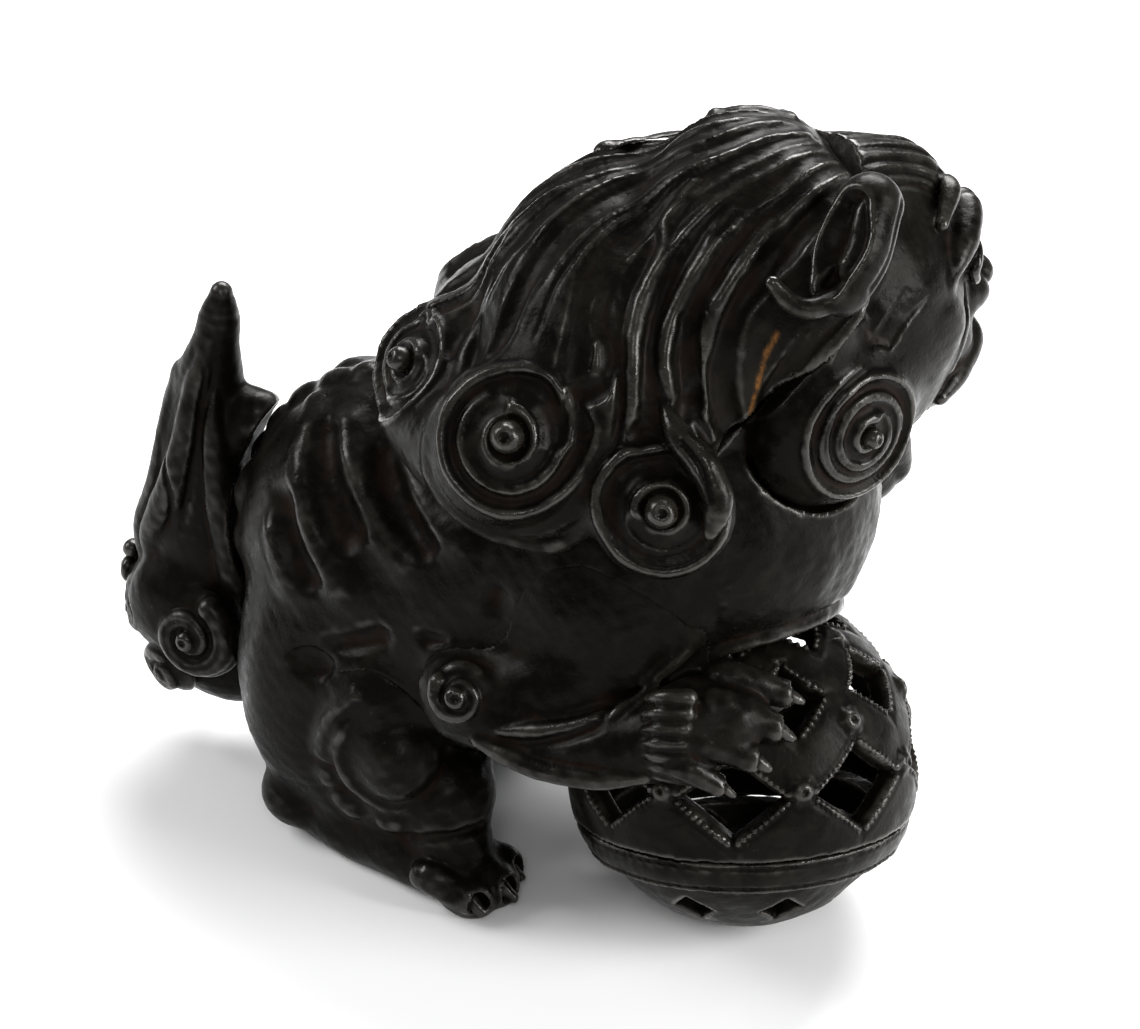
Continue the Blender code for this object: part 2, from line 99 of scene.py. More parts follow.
def ball(c, r, rot=(0, 0, 0), axes=None):
    c = np.array(c, float)
    r = np.array(r if isinstance(r, (tuple, list)) else (r, r, r), float)
    m = euler(rot) if axes is None else np.array(axes, float).T
    ext = np.sqrt(((m * r) ** 2).sum(1))

    def fn(x, y, z):
        x, y, z = x - np.float32(c[0]), y - np.float32(c[1]), z - np.float32(c[2])
        a = (x * np.float32(m[0, 0]) + y * np.float32(m[1, 0]) + z * np.float32(m[2, 0])) / np.float32(r[0])
        b = (x * np.float32(m[0, 1]) + y * np.float32(m[1, 1]) + z * np.float32(m[2, 1])) / np.float32(r[1])
        d = (x * np.float32(m[0, 2]) + y * np.float32(m[1, 2]) + z * np.float32(m[2, 2])) / np.float32(r[2])
        a2, b2, d2 = a * a, b * b, d * d
        k0 = np.sqrt(a2 + b2 + d2)
        k1 = np.sqrt(a2 / np.float32(r[0] ** 2) + b2 / np.float32(r[1] ** 2) + d2 / np.float32(r[2] ** 2))
        return k0 * (k0 - 1) / np.maximum(k1, np.float32(1e-5))

    return Shape(c - ext, c + ext, fn)


def cone_segment(a, b, ra, rb, x, y, z, n=None, flat=1.0):
    ab = b - a
    den = float(ab @ ab) or 1e-9
    px, py, pz = x - np.float32(a[0]), y - np.float32(a[1]), z - np.float32(a[2])
    t = (px * np.float32(ab[0] / den) + py * np.float32(ab[1] / den) + pz * np.float32(ab[2] / den))
    t = np.clip(t, 0, 1)
    qx, qy, qz = px - t * np.float32(ab[0]), py - t * np.float32(ab[1]), pz - t * np.float32(ab[2])
    q2 = qx * qx + qy * qy + qz * qz
    if n is not None and flat != 1.0:
        qn = qx * np.float32(n[0]) + qy * np.float32(n[1]) + qz * np.float32(n[2])
        q2 = q2 + np.float32(flat * flat - 1) * qn * qn
    return np.sqrt(q2) - (np.float32(ra) + t * np.float32(rb - ra))


def curve(pts, radii=None, step=1.2):
    """Dense points (and radii) along a smooth curve through pts."""
    p = np.array(pts, float)
    n = len(p)
    r = None if radii is None else np.array(radii, float)
    out, rad = [], []
    for i in range(n - 1):
        p0, p1, p2, p3 = p[max(i - 1, 0)], p[i], p[i + 1], p[min(i + 2, n - 1)]
        k = max(2, int(np.linalg.norm(p2 - p1) / step) + 1)
        for j in range(k):
            t = j / k
            out.append(0.5 * ((2 * p1) + (p2 - p0) * t + (2 * p0 - 5 * p1 + 4 * p2 - p3) * t * t
                              + (3 * p1 - p0 - 3 * p2 + p3) * t ** 3))
            if r is not None:
                s = t * t * (3 - 2 * t)
                rad.append(r[i] * (1 - s) + r[i + 1] * s)
    out.append(p[-1])
    if r is None:
        return np.array(out)
    rad.append(r[-1])
    return np.array(out), np.array(rad)


def limb(pts, radii):
    p, r = curve(pts, radii, step=1.6)
    lo = (p - r[:, None]).min(0)
    hi = (p + r[:, None]).max(0)

    def fn(x, y, z):
        out = None
        for i in range(len(p) - 1):
            d = cone_segment(p[i], p[i + 1], r[i], r[i + 1], x, y, z)
            out = d if out is None else np.minimum(out, d)
        return out

    return Shape(lo, hi, fn)


def mirror_y(shapes_spec):
    out = []
    for kind, *rest in shapes_spec:
        if kind == "ball":
            c, r, rot = rest
            out.append(("ball", (c[0], -c[1], c[2]), r, (-rot[0], rot[1], -rot[2])))
        else:
            pts, radii = rest
            out.append(("limb", [(p[0], -p[1], p[2]) for p in pts], radii))
    return out


def shape(spec):
    kind, *rest = spec
    return ball(*rest) if kind == "ball" else limb(*rest)


def B(c, r, rot=(0, 0, 0)):
    return ("ball", c, r, rot)


def L(pts, radii):
    return ("limb", pts, radii)


def smin(a, b, k):
    if k <= 0:
        return np.minimum(a, b)
    h = np.maximum(np.float32(k) - np.abs(a - b), 0)
    return np.minimum(a, b) - h * h * np.float32(0.25 / k)


class Clay:
    """A block of field that forms are added to and cut from."""

    def __init__(self, lo, hi, pitch):
        pitch *= QUALITY
        self.h = pitch
        n = [int(math.ceil((hi[k] - lo[k]) / pitch)) + 1 for k in range(3)]
        self.lo = np.array(lo, float)
        self.ax = [(lo[k] + pitch * np.arange(n[k])).astype(np.float32) for k in range(3)]
        self.d = np.full(n, FAR, np.float32)

    @classmethod
    def part_of(cls, big, lo, hi):
        """An empty block on the same lattice as a bigger one."""
        sl = big.window(lo, hi)[0]
        c = cls.__new__(cls)
        c.h = big.h
        c.ax = [big.ax[k][sl[k]] for k in range(3)]
        c.lo = np.array([a[0] for a in c.ax], float)
        c.d = np.full([len(a) for a in c.ax], FAR, np.float32)
        c.place = sl
        return c

    def window(self, lo, hi):
        sl = []
        for k in range(3):
            a = max(0, int(math.floor((lo[k] - self.lo[k]) / self.h)))
            b = min(len(self.ax[k]), int(math.ceil((hi[k] - self.lo[k]) / self.h)) + 1)
            if b <= a:
                return None
            sl.append(slice(a, b))
        return (tuple(sl), self.ax[0][sl[0]][:, None, None], self.ax[1][sl[1]][None, :, None],
                self.ax[2][sl[2]][None, None, :])

    def add(self, s, k=2.0, pad=None):
        pad = FAR if pad is None else pad
        w = self.window(s.lo - pad, s.hi + pad)
        if w:
            sl, x, y, z = w
            self.d[sl] = smin(self.d[sl], s.fn(x, y, z), k)

    def cut(self, s, k=0.4, grow=0.0):
        w = self.window(s.lo - k - grow - 1, s.hi + k + grow + 1)
        if w:
            sl, x, y, z = w
            self.d[sl] = -smin(-self.d[sl], s.fn(x, y, z) - np.float32(grow), k)

    def keep(self, fn, k=0.3):
        """Keep only where fn is negative."""
        x, y, z = self.ax[0][:, None, None], self.ax[1][None, :, None], self.ax[2][None, None, :]
        self.d = -smin(-self.d, -fn(x, y, z), k)

    def tubes(self, lines, op="add", k=0.4, flat=1.0):
        """lines: (points, radii) or (points, radii, normals).  All fused hard, then applied once."""
        los = np.min([(p - r[:, None]).min(0) for p, r, *_ in lines], 0) - 2.5
        his = np.max([(p + r[:, None]).max(0) for p, r, *_ in lines], 0) + 2.5
        w = self.window(los, his)
        if not w:
            return
        sl, _, _, _ = w
        base = [s.start for s in sl]
        t = np.full([s.stop - s.start for s in sl], np.float32(FAR), np.float32)
        for p, r, *rest in lines:
            nn = rest[0] if rest else None
            for i in range(len(p) - 1):
                m = max(r[i], r[i + 1]) + 1.2 + k
                ww = self.window(np.minimum(p[i], p[i + 1]) - m, np.maximum(p[i], p[i + 1]) + m)
                if not ww:
                    continue
                s2, x, y, z = ww
                s3 = tuple(slice(s2[q].start - base[q], s2[q].stop - base[q]) for q in range(3))
                if any(s.start < 0 for s in s3):
                    continue
                d = cone_segment(p[i], p[i + 1], r[i], r[i + 1], x, y, z,
                                 None if nn is None else nn[i], flat)
                v = t[s3]
                if v.shape == d.shape:
                    np.minimum(v, d, out=v)
        if op == "add":
            self.d[sl] = smin(self.d[sl], t, k)
        else:
            self.d[sl] = -smin(-self.d[sl], t, k)

    def raise_by(self, lo, hi, fn):
        """Swell the surface by fn (mm) inside a box."""
        w = self.window(np.array(lo, float), np.array(hi, float))
        if w:
            sl, x, y, z = w
            self.d[sl] = self.d[sl] - fn(x, y, z).astype(np.float32)

    def sample(self, p):
        g = (np.asarray(p, float) - self.lo) / self.h
        n = np.array(self.d.shape)
        g = np.clip(g, 0, n - 1.001)
        i = g.astype(int)
        f = g - i
        out = 0
        for dx in (0, 1):
            for dy in (0, 1):
                for dz in (0, 1):
                    wgt = (np.abs(1 - dx - f[:, 0]) * np.abs(1 - dy - f[:, 1]) * np.abs(1 - dz - f[:, 2]))
                    out = out + wgt * self.d[i[:, 0] + dx, i[:, 1] + dy, i[:, 2] + dz]
        return out

    def normal(self, p, e=0.8):
        p = np.asarray(p, float)
        g = np.stack([self.sample(p + np.eye(3)[k] * e) - self.sample(p - np.eye(3)[k] * e) for k in range(3)], 1)
        return g / np.maximum(np.linalg.norm(g, axis=1), 1e-6)[:, None]

    def project(self, p, times=8):
        p = np.array(p, float)
        for _ in range(times):
            d = np.clip(self.sample(p), -3.0, 3.0)
            p = p - self.normal(p, 1.0) * d[:, None] * 0.9
        return p

    def drape(self, pts, step=1.2, lift=0.0, smooth=2):
        """A curve through pts laid on the surface; returns points and normals."""
        p = self.project(curve(pts, step=step))
        for _ in range(smooth):
            q = p.copy()
            q[1:-1] = 0.25 * p[:-2] + 0.5 * p[1:-1] + 0.25 * p[2:]
            p = self.project(q, 2)
        n = self.normal(p, 1.5)
        return p + n * lift, n

    # ------------------------------------------------------------------ skin
    def skin(self):
        d = self.d
        s = d < 0
        n0, n1, n2 = d.shape
        cnt = np.zeros((n0 - 1, n1 - 1, n2 - 1), np.int8)
        corners = [(a, b, c) for a in (0, 1) for b in (0, 1) for c in (0, 1)]
        for a, b, c in corners:
            cnt += s[a:n0 - 1 + a, b:n1 - 1 + b, c:n2 - 1 + c]
        act = (cnt > 0) & (cnt < 8)
        ids = np.flatnonzero(act)
        i, j, k = np.unravel_index(ids, act.shape)
        vals = np.stack([d[i + a, j + b, k + c] for a, b, c in corners], 1)
        acc = np.zeros((len(ids), 3))
        num = np.zeros(len(ids))
        cc = np.array(corners, float)
        for p in range(8):
            for q in range(p + 1, 8):
                if np.abs(cc[p] - cc[q]).sum() != 1:
                    continue
                va, vb = vals[:, p], vals[:, q]
                m = (va < 0) != (vb < 0)
                t = va[m] / (va[m] - vb[m])
                acc[m] += cc[p] + t[:, None] * (cc[q] - cc[p])
                num[m] += 1
        verts = self.lo + self.h * (np.stack([i, j, k], 1) + acc / num[:, None])
        index = np.full(act.size, -1, np.int32)
        index[ids] = np.arange(len(ids), dtype=np.int32)
        index = index.reshape(act.shape)
        quads = []
        for axis in range(3):
            o1, o2 = [(1, 2), (2, 0), (0, 1)][axis]
            a_sl, b_sl = [slice(None)] * 3, [slice(None)] * 3
            a_sl[axis], b_sl[axis] = slice(0, -1), slice(1, None)
            for o in (o1, o2):
                a_sl[o] = b_sl[o] = slice(1, -1)
            sa, sb = s[tuple(a_sl)], s[tuple(b_sl)]
            loc = np.argwhere(sa != sb)
            if not len(loc):
                continue
            inside_first = sa[tuple(loc.T)]
            loc[:, o1] += 1
            loc[:, o2] += 1

            def cell(d1, d2):
                c = loc.copy()
                c[:, o1] += d1
                c[:, o2] += d2
                return index[c[:, 0], c[:, 1], c[:, 2]]

            q = np.stack([cell(-1, -1), cell(0, -1), cell(0, 0), cell(-1, 0)], 1)
            q[~inside_first] = q[~inside_first][:, ::-1]
            quads.append(q)
        return verts, np.concatenate(quads)


def largest(verts, quads, keep=1):
    """Drop crumbs: keep the largest connected body."""
    lab = np.arange(len(verts))
    e = np.concatenate([quads[:, [0, 1]], quads[:, [1, 2]], quads[:, [2, 3]]])
    while True:
        a, b = lab[e[:, 0]], lab[e[:, 1]]
        m = np.minimum(a, b)
        new = lab.copy()
        np.minimum.at(new, a, m)
        np.minimum.at(new, b, m)
        new = new[new]
        new = new[new]
        if (new == lab).all():
            break
        lab = new
    roots, counts = np.unique(lab, return_counts=True)
    best = roots[np.argsort(counts)[::-1][:keep]]
    ok = np.isin(lab, best)
    remap = np.cumsum(ok) - 1
    q = quads[ok[quads[:, 0]]]
    return verts[ok], remap[q]


def face_normals(v, q):
    n = np.cross(v[q[:, 2]] - v[q[:, 0]], v[q[:, 3]] - v[q[:, 1]])
    return n


def vertex_normals(v, q):
    fn = face_normals(v, q)
    out = np.zeros_like(v)
    for c in range(4):
        for k in range(3):
            out[:, k] += np.bincount(q[:, c], fn[:, k], len(v))
    return out / np.maximum(np.linalg.norm(out, axis=1), 1e-9)[:, None]


def edges_of(q):
    e = np.concatenate([q[:, [0, 1]], q[:, [1, 2]], q[:, [2, 3]], q[:, [3, 0]]])
    e.sort(axis=1)
    key = e[:, 0].astype(np.int64) * (q.max() + 1) + e[:, 1]
    _, first = np.unique(key, return_index=True)
    return e[first]


class Smoother:
    def __init__(self, q, n):
        self.e, self.n = edges_of(q), n
        self.deg = np.bincount(self.e.ravel(), minlength=n).astype(float)

    def mean(self, p):
        a, b = self.e[:, 0], self.e[:, 1]
        out = np.empty_like(p)
        for k in range(p.shape[1]):
            out[:, k] = np.bincount(a, p[b, k], self.n) + np.bincount(b, p[a, k], self.n)
        return out / self.deg[:, None]

    def run(self, p, times, f=0.6):
        for _ in range(times):
            p = p + (self.mean(p) - p) * f
        return p


def waves(p, size, seed, count=9):
    """Soft deterministic unevenness, about -1 to 1."""
    rng = np.random.default_rng(seed)
    out = np.zeros(len(p))
    for _ in range(count):
        k = unit(rng.normal(size=3)) * (2 * math.pi / (size * rng.uniform(0.7, 1.5)))
        out += np.sin(p @ k + rng.uniform(0, 6.28))
    return out / math.sqrt(count)


PIECES = {}


def cast(name, clay, body, node, material, uneven=0.10, seed=1, marks=None, keep=1, relax=2, seam=None):
    """Skin a clay block and set it in the scene as one bronze casting."""
    v, q = clay.skin()
    v, q = largest(v, q, keep)
    sm = Smoother(q, len(v))
    for _ in range(relax):                       # shrink-free relaxing of the grid's steps
        v = v + (sm.mean(v) - v) * 0.5
        v = v - (sm.mean(v) - v) * 0.53
    n = vertex_normals(v, q)
    v = v + n * (uneven * waves(v, 9.0, seed) + 0.35 * uneven * waves(v, 3.2, seed + 5))[:, None]
    v[:, 2] = np.maximum(v[:, 2], 0.0)
    n = vertex_normals(v, q)
    fine = sm.run(v, 4)
    broad = sm.run(fine, 40)
    ridge = ((v - fine) * n).sum(1) / (0.10 * clay.h / 0.45)
    hollow = ((broad - v) * n).sum(1) / 0.9
    ridge = np.clip(sm.run(ridge[:, None], 2)[:, 0], -1, 1)
    hollow = np.clip(hollow, -1, 1)
    if seam is not None:                         # the edge at a joint is not a worn ridge
        far = np.clip((np.abs(seam.sample(v)) - 0.45) / 0.9, 0, 1)
        ridge, hollow = ridge * far, hollow * far
    me = bpy.data.meshes.new(name)
    me.vertices.add(len(v))
    me.vertices.foreach_set("co", ((v + SHIFT) * MM).astype(np.float32).ravel())
    me.loops.add(len(q) * 4)
    me.loops.foreach_set("vertex_index", q.astype(np.int32).ravel())
    me.polygons.add(len(q))
    me.polygons.foreach_set("loop_start", np.arange(0, len(q) * 4, 4, dtype=np.int32))
    me.update(calc_edges=True)
    me.validate()
    for label, data in (("ridge", ridge), ("hollow", hollow)):
        at = me.attributes.new(label, "FLOAT", "POINT")
        at.data.foreach_set("value", data.astype(np.float32))
    at = me.attributes.new("braze", "FLOAT", "POINT")
    if marks is not None:
        at.data.foreach_set("value", marks(v).astype(np.float32))
    me.shade_smooth()
    me.materials.append(material)
    obj = bpy.data.objects.new(name, me)
    bpy.context.scene.collection.objects.link(obj)
    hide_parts(node)
    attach(obj, body)
    PIECES[name] = len(q)
    return obj


# ----------------------------------------------------------------------------- bronze
def bronze(name, dark=1.0, wear=1.0, rust=1.0, olive=1.0, rough=0.36, seed=0.0):
    """Dark wax-finished patina: rust brown in hollows, olive and brassy rubbing on ridges."""
    mat = bpy.data.materials.new(name)
    mat.use_nodes = True
    nt = mat.node_tree
    nt.nodes.clear()

    def new(kind, **kw):
        node = nt.nodes.new(kind)
        for key, val in kw.items():
            setattr(node, key, val)
        return node

    def link(a, b):
        nt.links.new(a, b)

    out = new("ShaderNodeOutputMaterial")
    bsdf = new("ShaderNodeBsdfPrincipled")
    link(bsdf.outputs[0], out.inputs[0])
    coord = new("ShaderNodeTexCoord")
    shift = new("ShaderNodeVectorMath", operation="ADD")
    shift.inputs[1].default_value = (seed * 0.37, seed * 0.21, seed * 0.13)
    link(coord.outputs["Object"], shift.inputs[0])
    vec = shift.outputs[0]

    def noise(scale, detail=4.0, rough_=0.55, distortion=0.0):
        node = new("ShaderNodeTexNoise")
        node.inputs["Scale"].default_value = scale
        node.inputs["Detail"].default_value = detail
        node.inputs["Roughness"].default_value = rough_
        node.inputs["Distortion"].default_value = distortion
        link(vec, node.inputs["Vector"])
        return node.outputs["Fac"]

    def ramp(src, lo, hi, a=0.0, b=1.0):
        node = new("ShaderNodeMapRange")
        node.interpolation_type = "SMOOTHSTEP"
        node.inputs["From Min"].default_value = lo
        node.inputs["From Max"].default_value = hi
        node.inputs["To Min"].default_value = a
        node.inputs["To Max"].default_value = b
        link(src, node.inputs["Value"])
        return node.outputs["Result"]

    def math_(op, a, b):
        node = new("ShaderNodeMath", operation=op)
        for i, s in enumerate((a, b)):
            if isinstance(s, (int, float)):
                node.inputs[i].default_value = s
            else:
                link(s, node.inputs[i])
        return node.outputs[0]

    def mix(fac, a, b):
        node = new("ShaderNodeMix", data_type="RGBA")
        if isinstance(fac, (int, float)):
            node.inputs["Factor"].default_value = fac
        else:
            link(fac, node.inputs["Factor"])
        for key, s in ((6, a), (7, b)):
            if isinstance(s, tuple):
                node.inputs[key].default_value = (*s, 1.0)
            else:
                link(s, node.inputs[key])
        return node.outputs[2]

    ridge = new("ShaderNodeAttribute", attribute_name="ridge").outputs["Fac"]
    hollow = new("ShaderNodeAttribute", attribute_name="hollow").outputs["Fac"]
    braze = new("ShaderNodeAttribute", attribute_name="braze").outputs["Fac"]

    big = noise(38.0, 3.0)
    mid = noise(160.0, 5.0, 0.6, 0.4)
    fine = noise(900.0, 4.0, 0.6)
    k = dark * 0.13
    base = mix(ramp(big, 0.35, 0.65), (0.020 * k, 0.0165 * k, 0.0135 * k), (0.033 * k, 0.029 * k, 0.022 * k))
    base = mix(ramp(mid, 0.42, 0.72, 0.0, 0.6 * olive), base, (0.068 * k, 0.064 * k, 0.045 * k))
    rusty = math_("MULTIPLY", ramp(hollow, 0.05, 0.55), ramp(mid, 0.35, 0.62))
    base = mix(math_("MULTIPLY", rusty, 0.75 * rust), base, (0.013, 0.0046, 0.0020))
    # painted shade: the hollows are darkened nearly to black, standing in for the shade that falls into them
    painted_hollow_shade = ramp(hollow, 0.2, 0.9, 0.0, 0.8)
    base = mix(painted_hollow_shade, base, (0.0026, 0.0022, 0.0020))
    rub = math_("MULTIPLY", ramp(ridge, 0.12, 0.75), ramp(mid, 0.25, 0.6, 0.35, 1.0))
    base = mix(math_("MULTIPLY", rub, 0.26 * wear), base, (0.060, 0.052, 0.038))
    speck = math_("MULTIPLY", ramp(fine, 0.66, 0.74), ramp(big, 0.4, 0.6))
    base = mix(math_("MULTIPLY", speck, 0.22), base, (0.09, 0.07, 0.04))
    gold = math_("MULTIPLY", braze, ramp(fine, 0.35, 0.55, 0.35, 1.0))
    base = mix(gold, base, (0.20, 0.085, 0.022))
    link(base, bsdf.inputs["Base Color"])

    r = ramp(mid, 0.3, 0.7, rough - 0.07, rough + 0.12)
    r = math_("ADD", r, ramp(hollow, 0.0, 0.7, 0.0, 0.22))
    r = math_("SUBTRACT", r, ramp(ridge, 0.1, 0.8, 0.0, 0.12))
    r = math_("ADD", r, ramp(fine, 0.3, 0.7, -0.04, 0.05))
    link(r, bsdf.inputs["Roughness"])
    bsdf.inputs["Metallic"].default_value = 0.25
    link(ramp(math_("ADD", ridge, math_("MULTIPLY", mid, 0.10)), 0.20, 1.0, 0.05, 0.50), bsdf.inputs["Specular IOR Level"])
    bsdf.inputs["Coat Weight"].default_value = 0.012
    bsdf.inputs["Coat Roughness"].default_value = 0.22

    pits = new("ShaderNodeTexVoronoi")
    pits.inputs["Scale"].default_value = 620.0
    link(vec, pits.inputs["Vector"])
    pit = ramp(pits.outputs["Distance"], 0.05, 0.32)
    pit = math_("MULTIPLY", pit, 1.0)
    grain = noise(1500.0, 3.0, 0.6)
    height = math_("ADD", math_("MULTIPLY", mid, 0.55), math_("MULTIPLY", fine, 0.30))
    height = math_("ADD", height, math_("MULTIPLY", pit, 0.10))
    height = math_("ADD", height, math_("MULTIPLY", grain, 0.08))
    bump = new("ShaderNodeBump")
    bump.inputs["Strength"].default_value = 0.55
    bump.inputs["Distance"].default_value = 0.00045
    link(height, bump.inputs["Height"])
    link(bump.outputs[0], bsdf.inputs["Normal"])
    return mat


MAT = {
    "body": bronze("bronze_body_patina", 1.0, 0.8, 1.0, 1.0, 0.32, 1.0),
    "mane": bronze("bronze_mane_patina", 1.05, 1.0, 0.8, 1.1, 0.30, 2.0),
    "head": bronze("bronze_head_patina", 1.1, 1.0, 0.9, 1.0, 0.29, 3.0),
    "legs": bronze("bronze_leg_patina", 1.0, 0.8, 1.0, 1.0, 0.38, 4.0),
    "tail": bronze("bronze_tail_patina", 0.9, 0.7, 0.7, 0.8, 0.38, 5.0),
    "ball": bronze("bronze_ball_patina", 1.15, 1.2, 1.1, 1.2, 0.36, 6.0),
    "band": bronze("bronze_ribbon_patina", 1.25, 1.0, 0.8, 1.3, 0.33, 7.0),
    "pins": bronze("bronze_pin_patina", 1.2, 0.6, 1.0, 1.0, 0.45, 8.0),
}

# ----------------------------------------------------------------------------- the forms
TORSO = [
    L([(-18, 0, 48), (4, 0, 63), (32, 0, 82)], [37, 38, 38]),
    B((-23, 0, 59), (38, 33, 37), (0, -30, 0)),
    B((-30, 0, 29), (30, 31, 26)),
    B((-32, -16, 36), (24, 20, 30)), B((-32, 16, 36), (24, 20, 30)),
]
MANE = [
    B((4, 0, 102), (27, 37, 25), (0, -22, 0)),
    B((24, 2, 113), (33, 41, 35), (0, -20, 0)),
    B((40, 5, 122), (25, 33, 36)),
    B(hw(-17, 0, 9), (19, 30.5, 33), (0, 0, 52)),
    L([(-8, -24, 102), (3, -33, 102), (12, -37, 104)], [11, 12, 12]),
    L([(-8, 24, 102), (3, 33, 102), (12, 37, 104)], [11, 12, 12]),
    B((10, -36, 105), (14, 8, 14)), B((10, 36, 105), (14, 8, 14)),
    B((39, -36, 99), (11, 8, 11)), B((34, 39, 99), (11, 8, 11)),
    B((-15, -14, 104), (9, 9, 11)), B((-15, 14, 104), (9, 9, 11)),
]
HEAD = [
    B(hw(-5, 0, 4), (26, 26, 30.5), (0, 0, 52)),
    B(hw(-19, -21, -6), (16, 9, 17), (0, 0, 52)),
    B(hw(-19, 21, -6), (16, 9, 17), (0, 0, 52)),
    L([hw(-4, 0, 24), hw(8, 0, 25), hw(16, 0, 17)], [14, 10, 8]),
    B(hw(14.5, -8, 16), (7.5, 8, 7), (0, 0, 52)), B(hw(14.5, 8, 16), (7.5, 8, 7), (0, 0, 52)),
    B(hw(19, 0, 1), (11.5, 11, 7.5), (0, 0, 52)),
    B(hw(14, -8, -5), (9, 7.5, 6.5), (0, 0, 52)), B(hw(14, 8, -5), (9, 7.5, 6.5), (0, 0, 52)),
    B(hw(-2, 0, -19), (13.0, 13, 12), (0, 0, 52)),
    L([hw(-2, 0, -24), hw(4, 0, -32), hw(9, 0, -37)], [12, 9, 5.2]),
]
TAIL = [
    L([(-71, 0, 30), (-72, 0, 50), (-70.5, 0, 68), (-69, 0, 84), (-66, 0, 98), (-64.8, 0, 106)],
      [12, 11.5, 9.5, 6.8, 4.4, 2.3]),
    L([(-75, 0, 38), (-76.5, 0, 54), (-76, 0, 70), (-74.8, 0, 86)], [11, 8.5, 5.0, 2.3]),
    L([(-66, 0, 74), (-60, 0, 79), (-56, 0, 79)], [8, 6, 4]),
    B((-65, 0, 46), (8, 9, 24)),
    B((-75, -9, 35), (11, 7, 12)), B((-75, 9, 35), (11, 7, 12)),
    B((-81.5, 0, 34), (8.5, 10, 8)), B((-72, 0, 21), (9, 10, 11)),
    B((-67, 0, 22), (12, 9, 14)),
]
HIND = [
    B((-31, -25, 30), (20, 13, 26)),
    B((-18.5, -34, 34), (12, 9, 17)),
    L([(-26, -28, 15), (-13, -31, 20), (-5, -32, 22)], [9, 10, 9]),
    L([(-39, -24, 5.5), (-28, -29, 6), (-14, -33, 6.5), (-2, -36.5, 6.5)], [6.4, 7.4, 7.8, 7.4]),
    L([(-6, -33, 20), (-3, -35, 12)], [8.5, 7.5]),
    B((2.5, -41.5, 4), (5.5, 4, 5)), B((5.5, -36.5, 4), (5.5, 4, 5.2)),
    B((5, -30.5, 4), (5, 4, 5)),
]
FORE_R = [
    B((27, -29, 66), (20, 14, 23), (0, 10, 0)),
    L([(22, -34, 57), (10, -39, 53), (3, -41, 52)], [12, 9, 7.5]),
    B((0.5, -42, 53.5), (7, 5.5, 7)),
    L([(3, -41, 50), (20, -44, 49), (36, -45, 51.5), (47, -43, 57)], [7, 7, 7.5, 8.5]),
    B((51, -41, 58.5), (11, 9.5, 7.5), (0, -12, 12)),
]
FORE_L = [
    B((24, 30, 66), (19, 13, 23), (0, 10, 0)),
    L([(24, 34, 58), (25, 35, 40), (27, 35, 22), (30, 35, 10)], [12, 9, 7.5, 8]),
    B((34, 35, 5), (11, 9, 7.4)),
]


def fuse(clay, specs, k=3.0):
    for s in specs:
        clay.add(shape(s), k)


def sphere_fn(c, r):
    def fn(x, y, z):
        return np.sqrt((x - np.float32(c[0])) ** 2 + (y - np.float32(c[1])) ** 2
                       + (z - np.float32(c[2])) ** 2) - np.float32(r)
    return fn


def plane_fn(p, n, off=0.0):
    """Positive on the side that n points to."""
    def fn(x, y, z):
        return ((x - np.float32(p[0])) * np.float32(n[0]) + (y - np.float32(p[1])) * np.float32(n[1])
                + (z - np.float32(p[2])) * np.float32(n[2]) - np.float32(off))
    return fn


def union_shape(specs, k, grow=0.0, shifts=((0, 0, 0),)):
    """One shape from many specs, for cutting rooms."""
    parts = []
    for d in shifts:
        for kind, *rest in specs:
            if kind == "ball":
                c, r, rot = rest
                parts.append(ball(tuple(np.array(c) + d), r, rot))
            else:
                pts, radii = rest
                parts.append(limb([tuple(np.array(p) + d) for p in pts], radii))
    lo = np.min([p.lo for p in parts], 0) - grow
    hi = np.max([p.hi for p in parts], 0) + grow
    return parts, lo, hi


def cut_room(clay, specs, k=3.0, grow=0.7, shifts=((0, 0, 0),), limit=None, soft=0.3):
    """Cut the fused specs, grown by a gap, from the clay."""
    parts, lo, hi = union_shape(specs, k, grow, [np.array(s) for s in shifts])
    room = np.full(clay.d.shape, np.float32(FAR), np.float32)
    tmp, clay.d = clay.d, room
    for p in parts:
        clay.add(p, k)
    room, clay.d = clay.d, tmp
    room = room - np.float32(grow)
    if limit is not None:
        x, y, z = clay.ax[0][:, None, None], clay.ax[1][None, :, None], clay.ax[2][None, None, :]
        room = np.maximum(room, limit(x, y, z))
    clay.d = -smin(-clay.d, room, soft)


def spiral(c, n, right, radius, turns, hand, start, dome, r_out, r_in, power=0.85, lead=None, sink=0.35):
    """Points and radii of a snail curl, from its outer end in; 0 degrees is to the right, seen from outside."""
    n = unit(n)
    u = unit(np.asarray(right, float) - n * float(np.dot(right, n)))
    v = np.cross(n, u)
    m = int(turns * 30)
    pts, rad = [], []
    for i in range(m + 1):
        q = i / m
        phi = math.radians(start) + hand * 2 * math.pi * turns * q
        r = r_out * (1 - q) + r_in * q
        rr = (radius - r_out) * (1 - q) ** power
        h = dome * (1 - (rr / radius) ** 2) - r * sink
        pts.append(np.array(c) + u * rr * math.cos(phi) + v * rr * math.sin(phi) + n * h)
        rad.append(r)
    if lead is not None:
        lp, lr = lead
        lp = [np.array(p, float) for p in lp] + [pts[0], pts[2]]
        lr = list(lr) + [rad[0], rad[2]]
        a, b = curve(lp, lr)
        pts = list(a[:-1]) + pts[2:]
        rad = list(b[:-1]) + rad[2:]
    return np.array(pts), np.array(rad), n, u, v


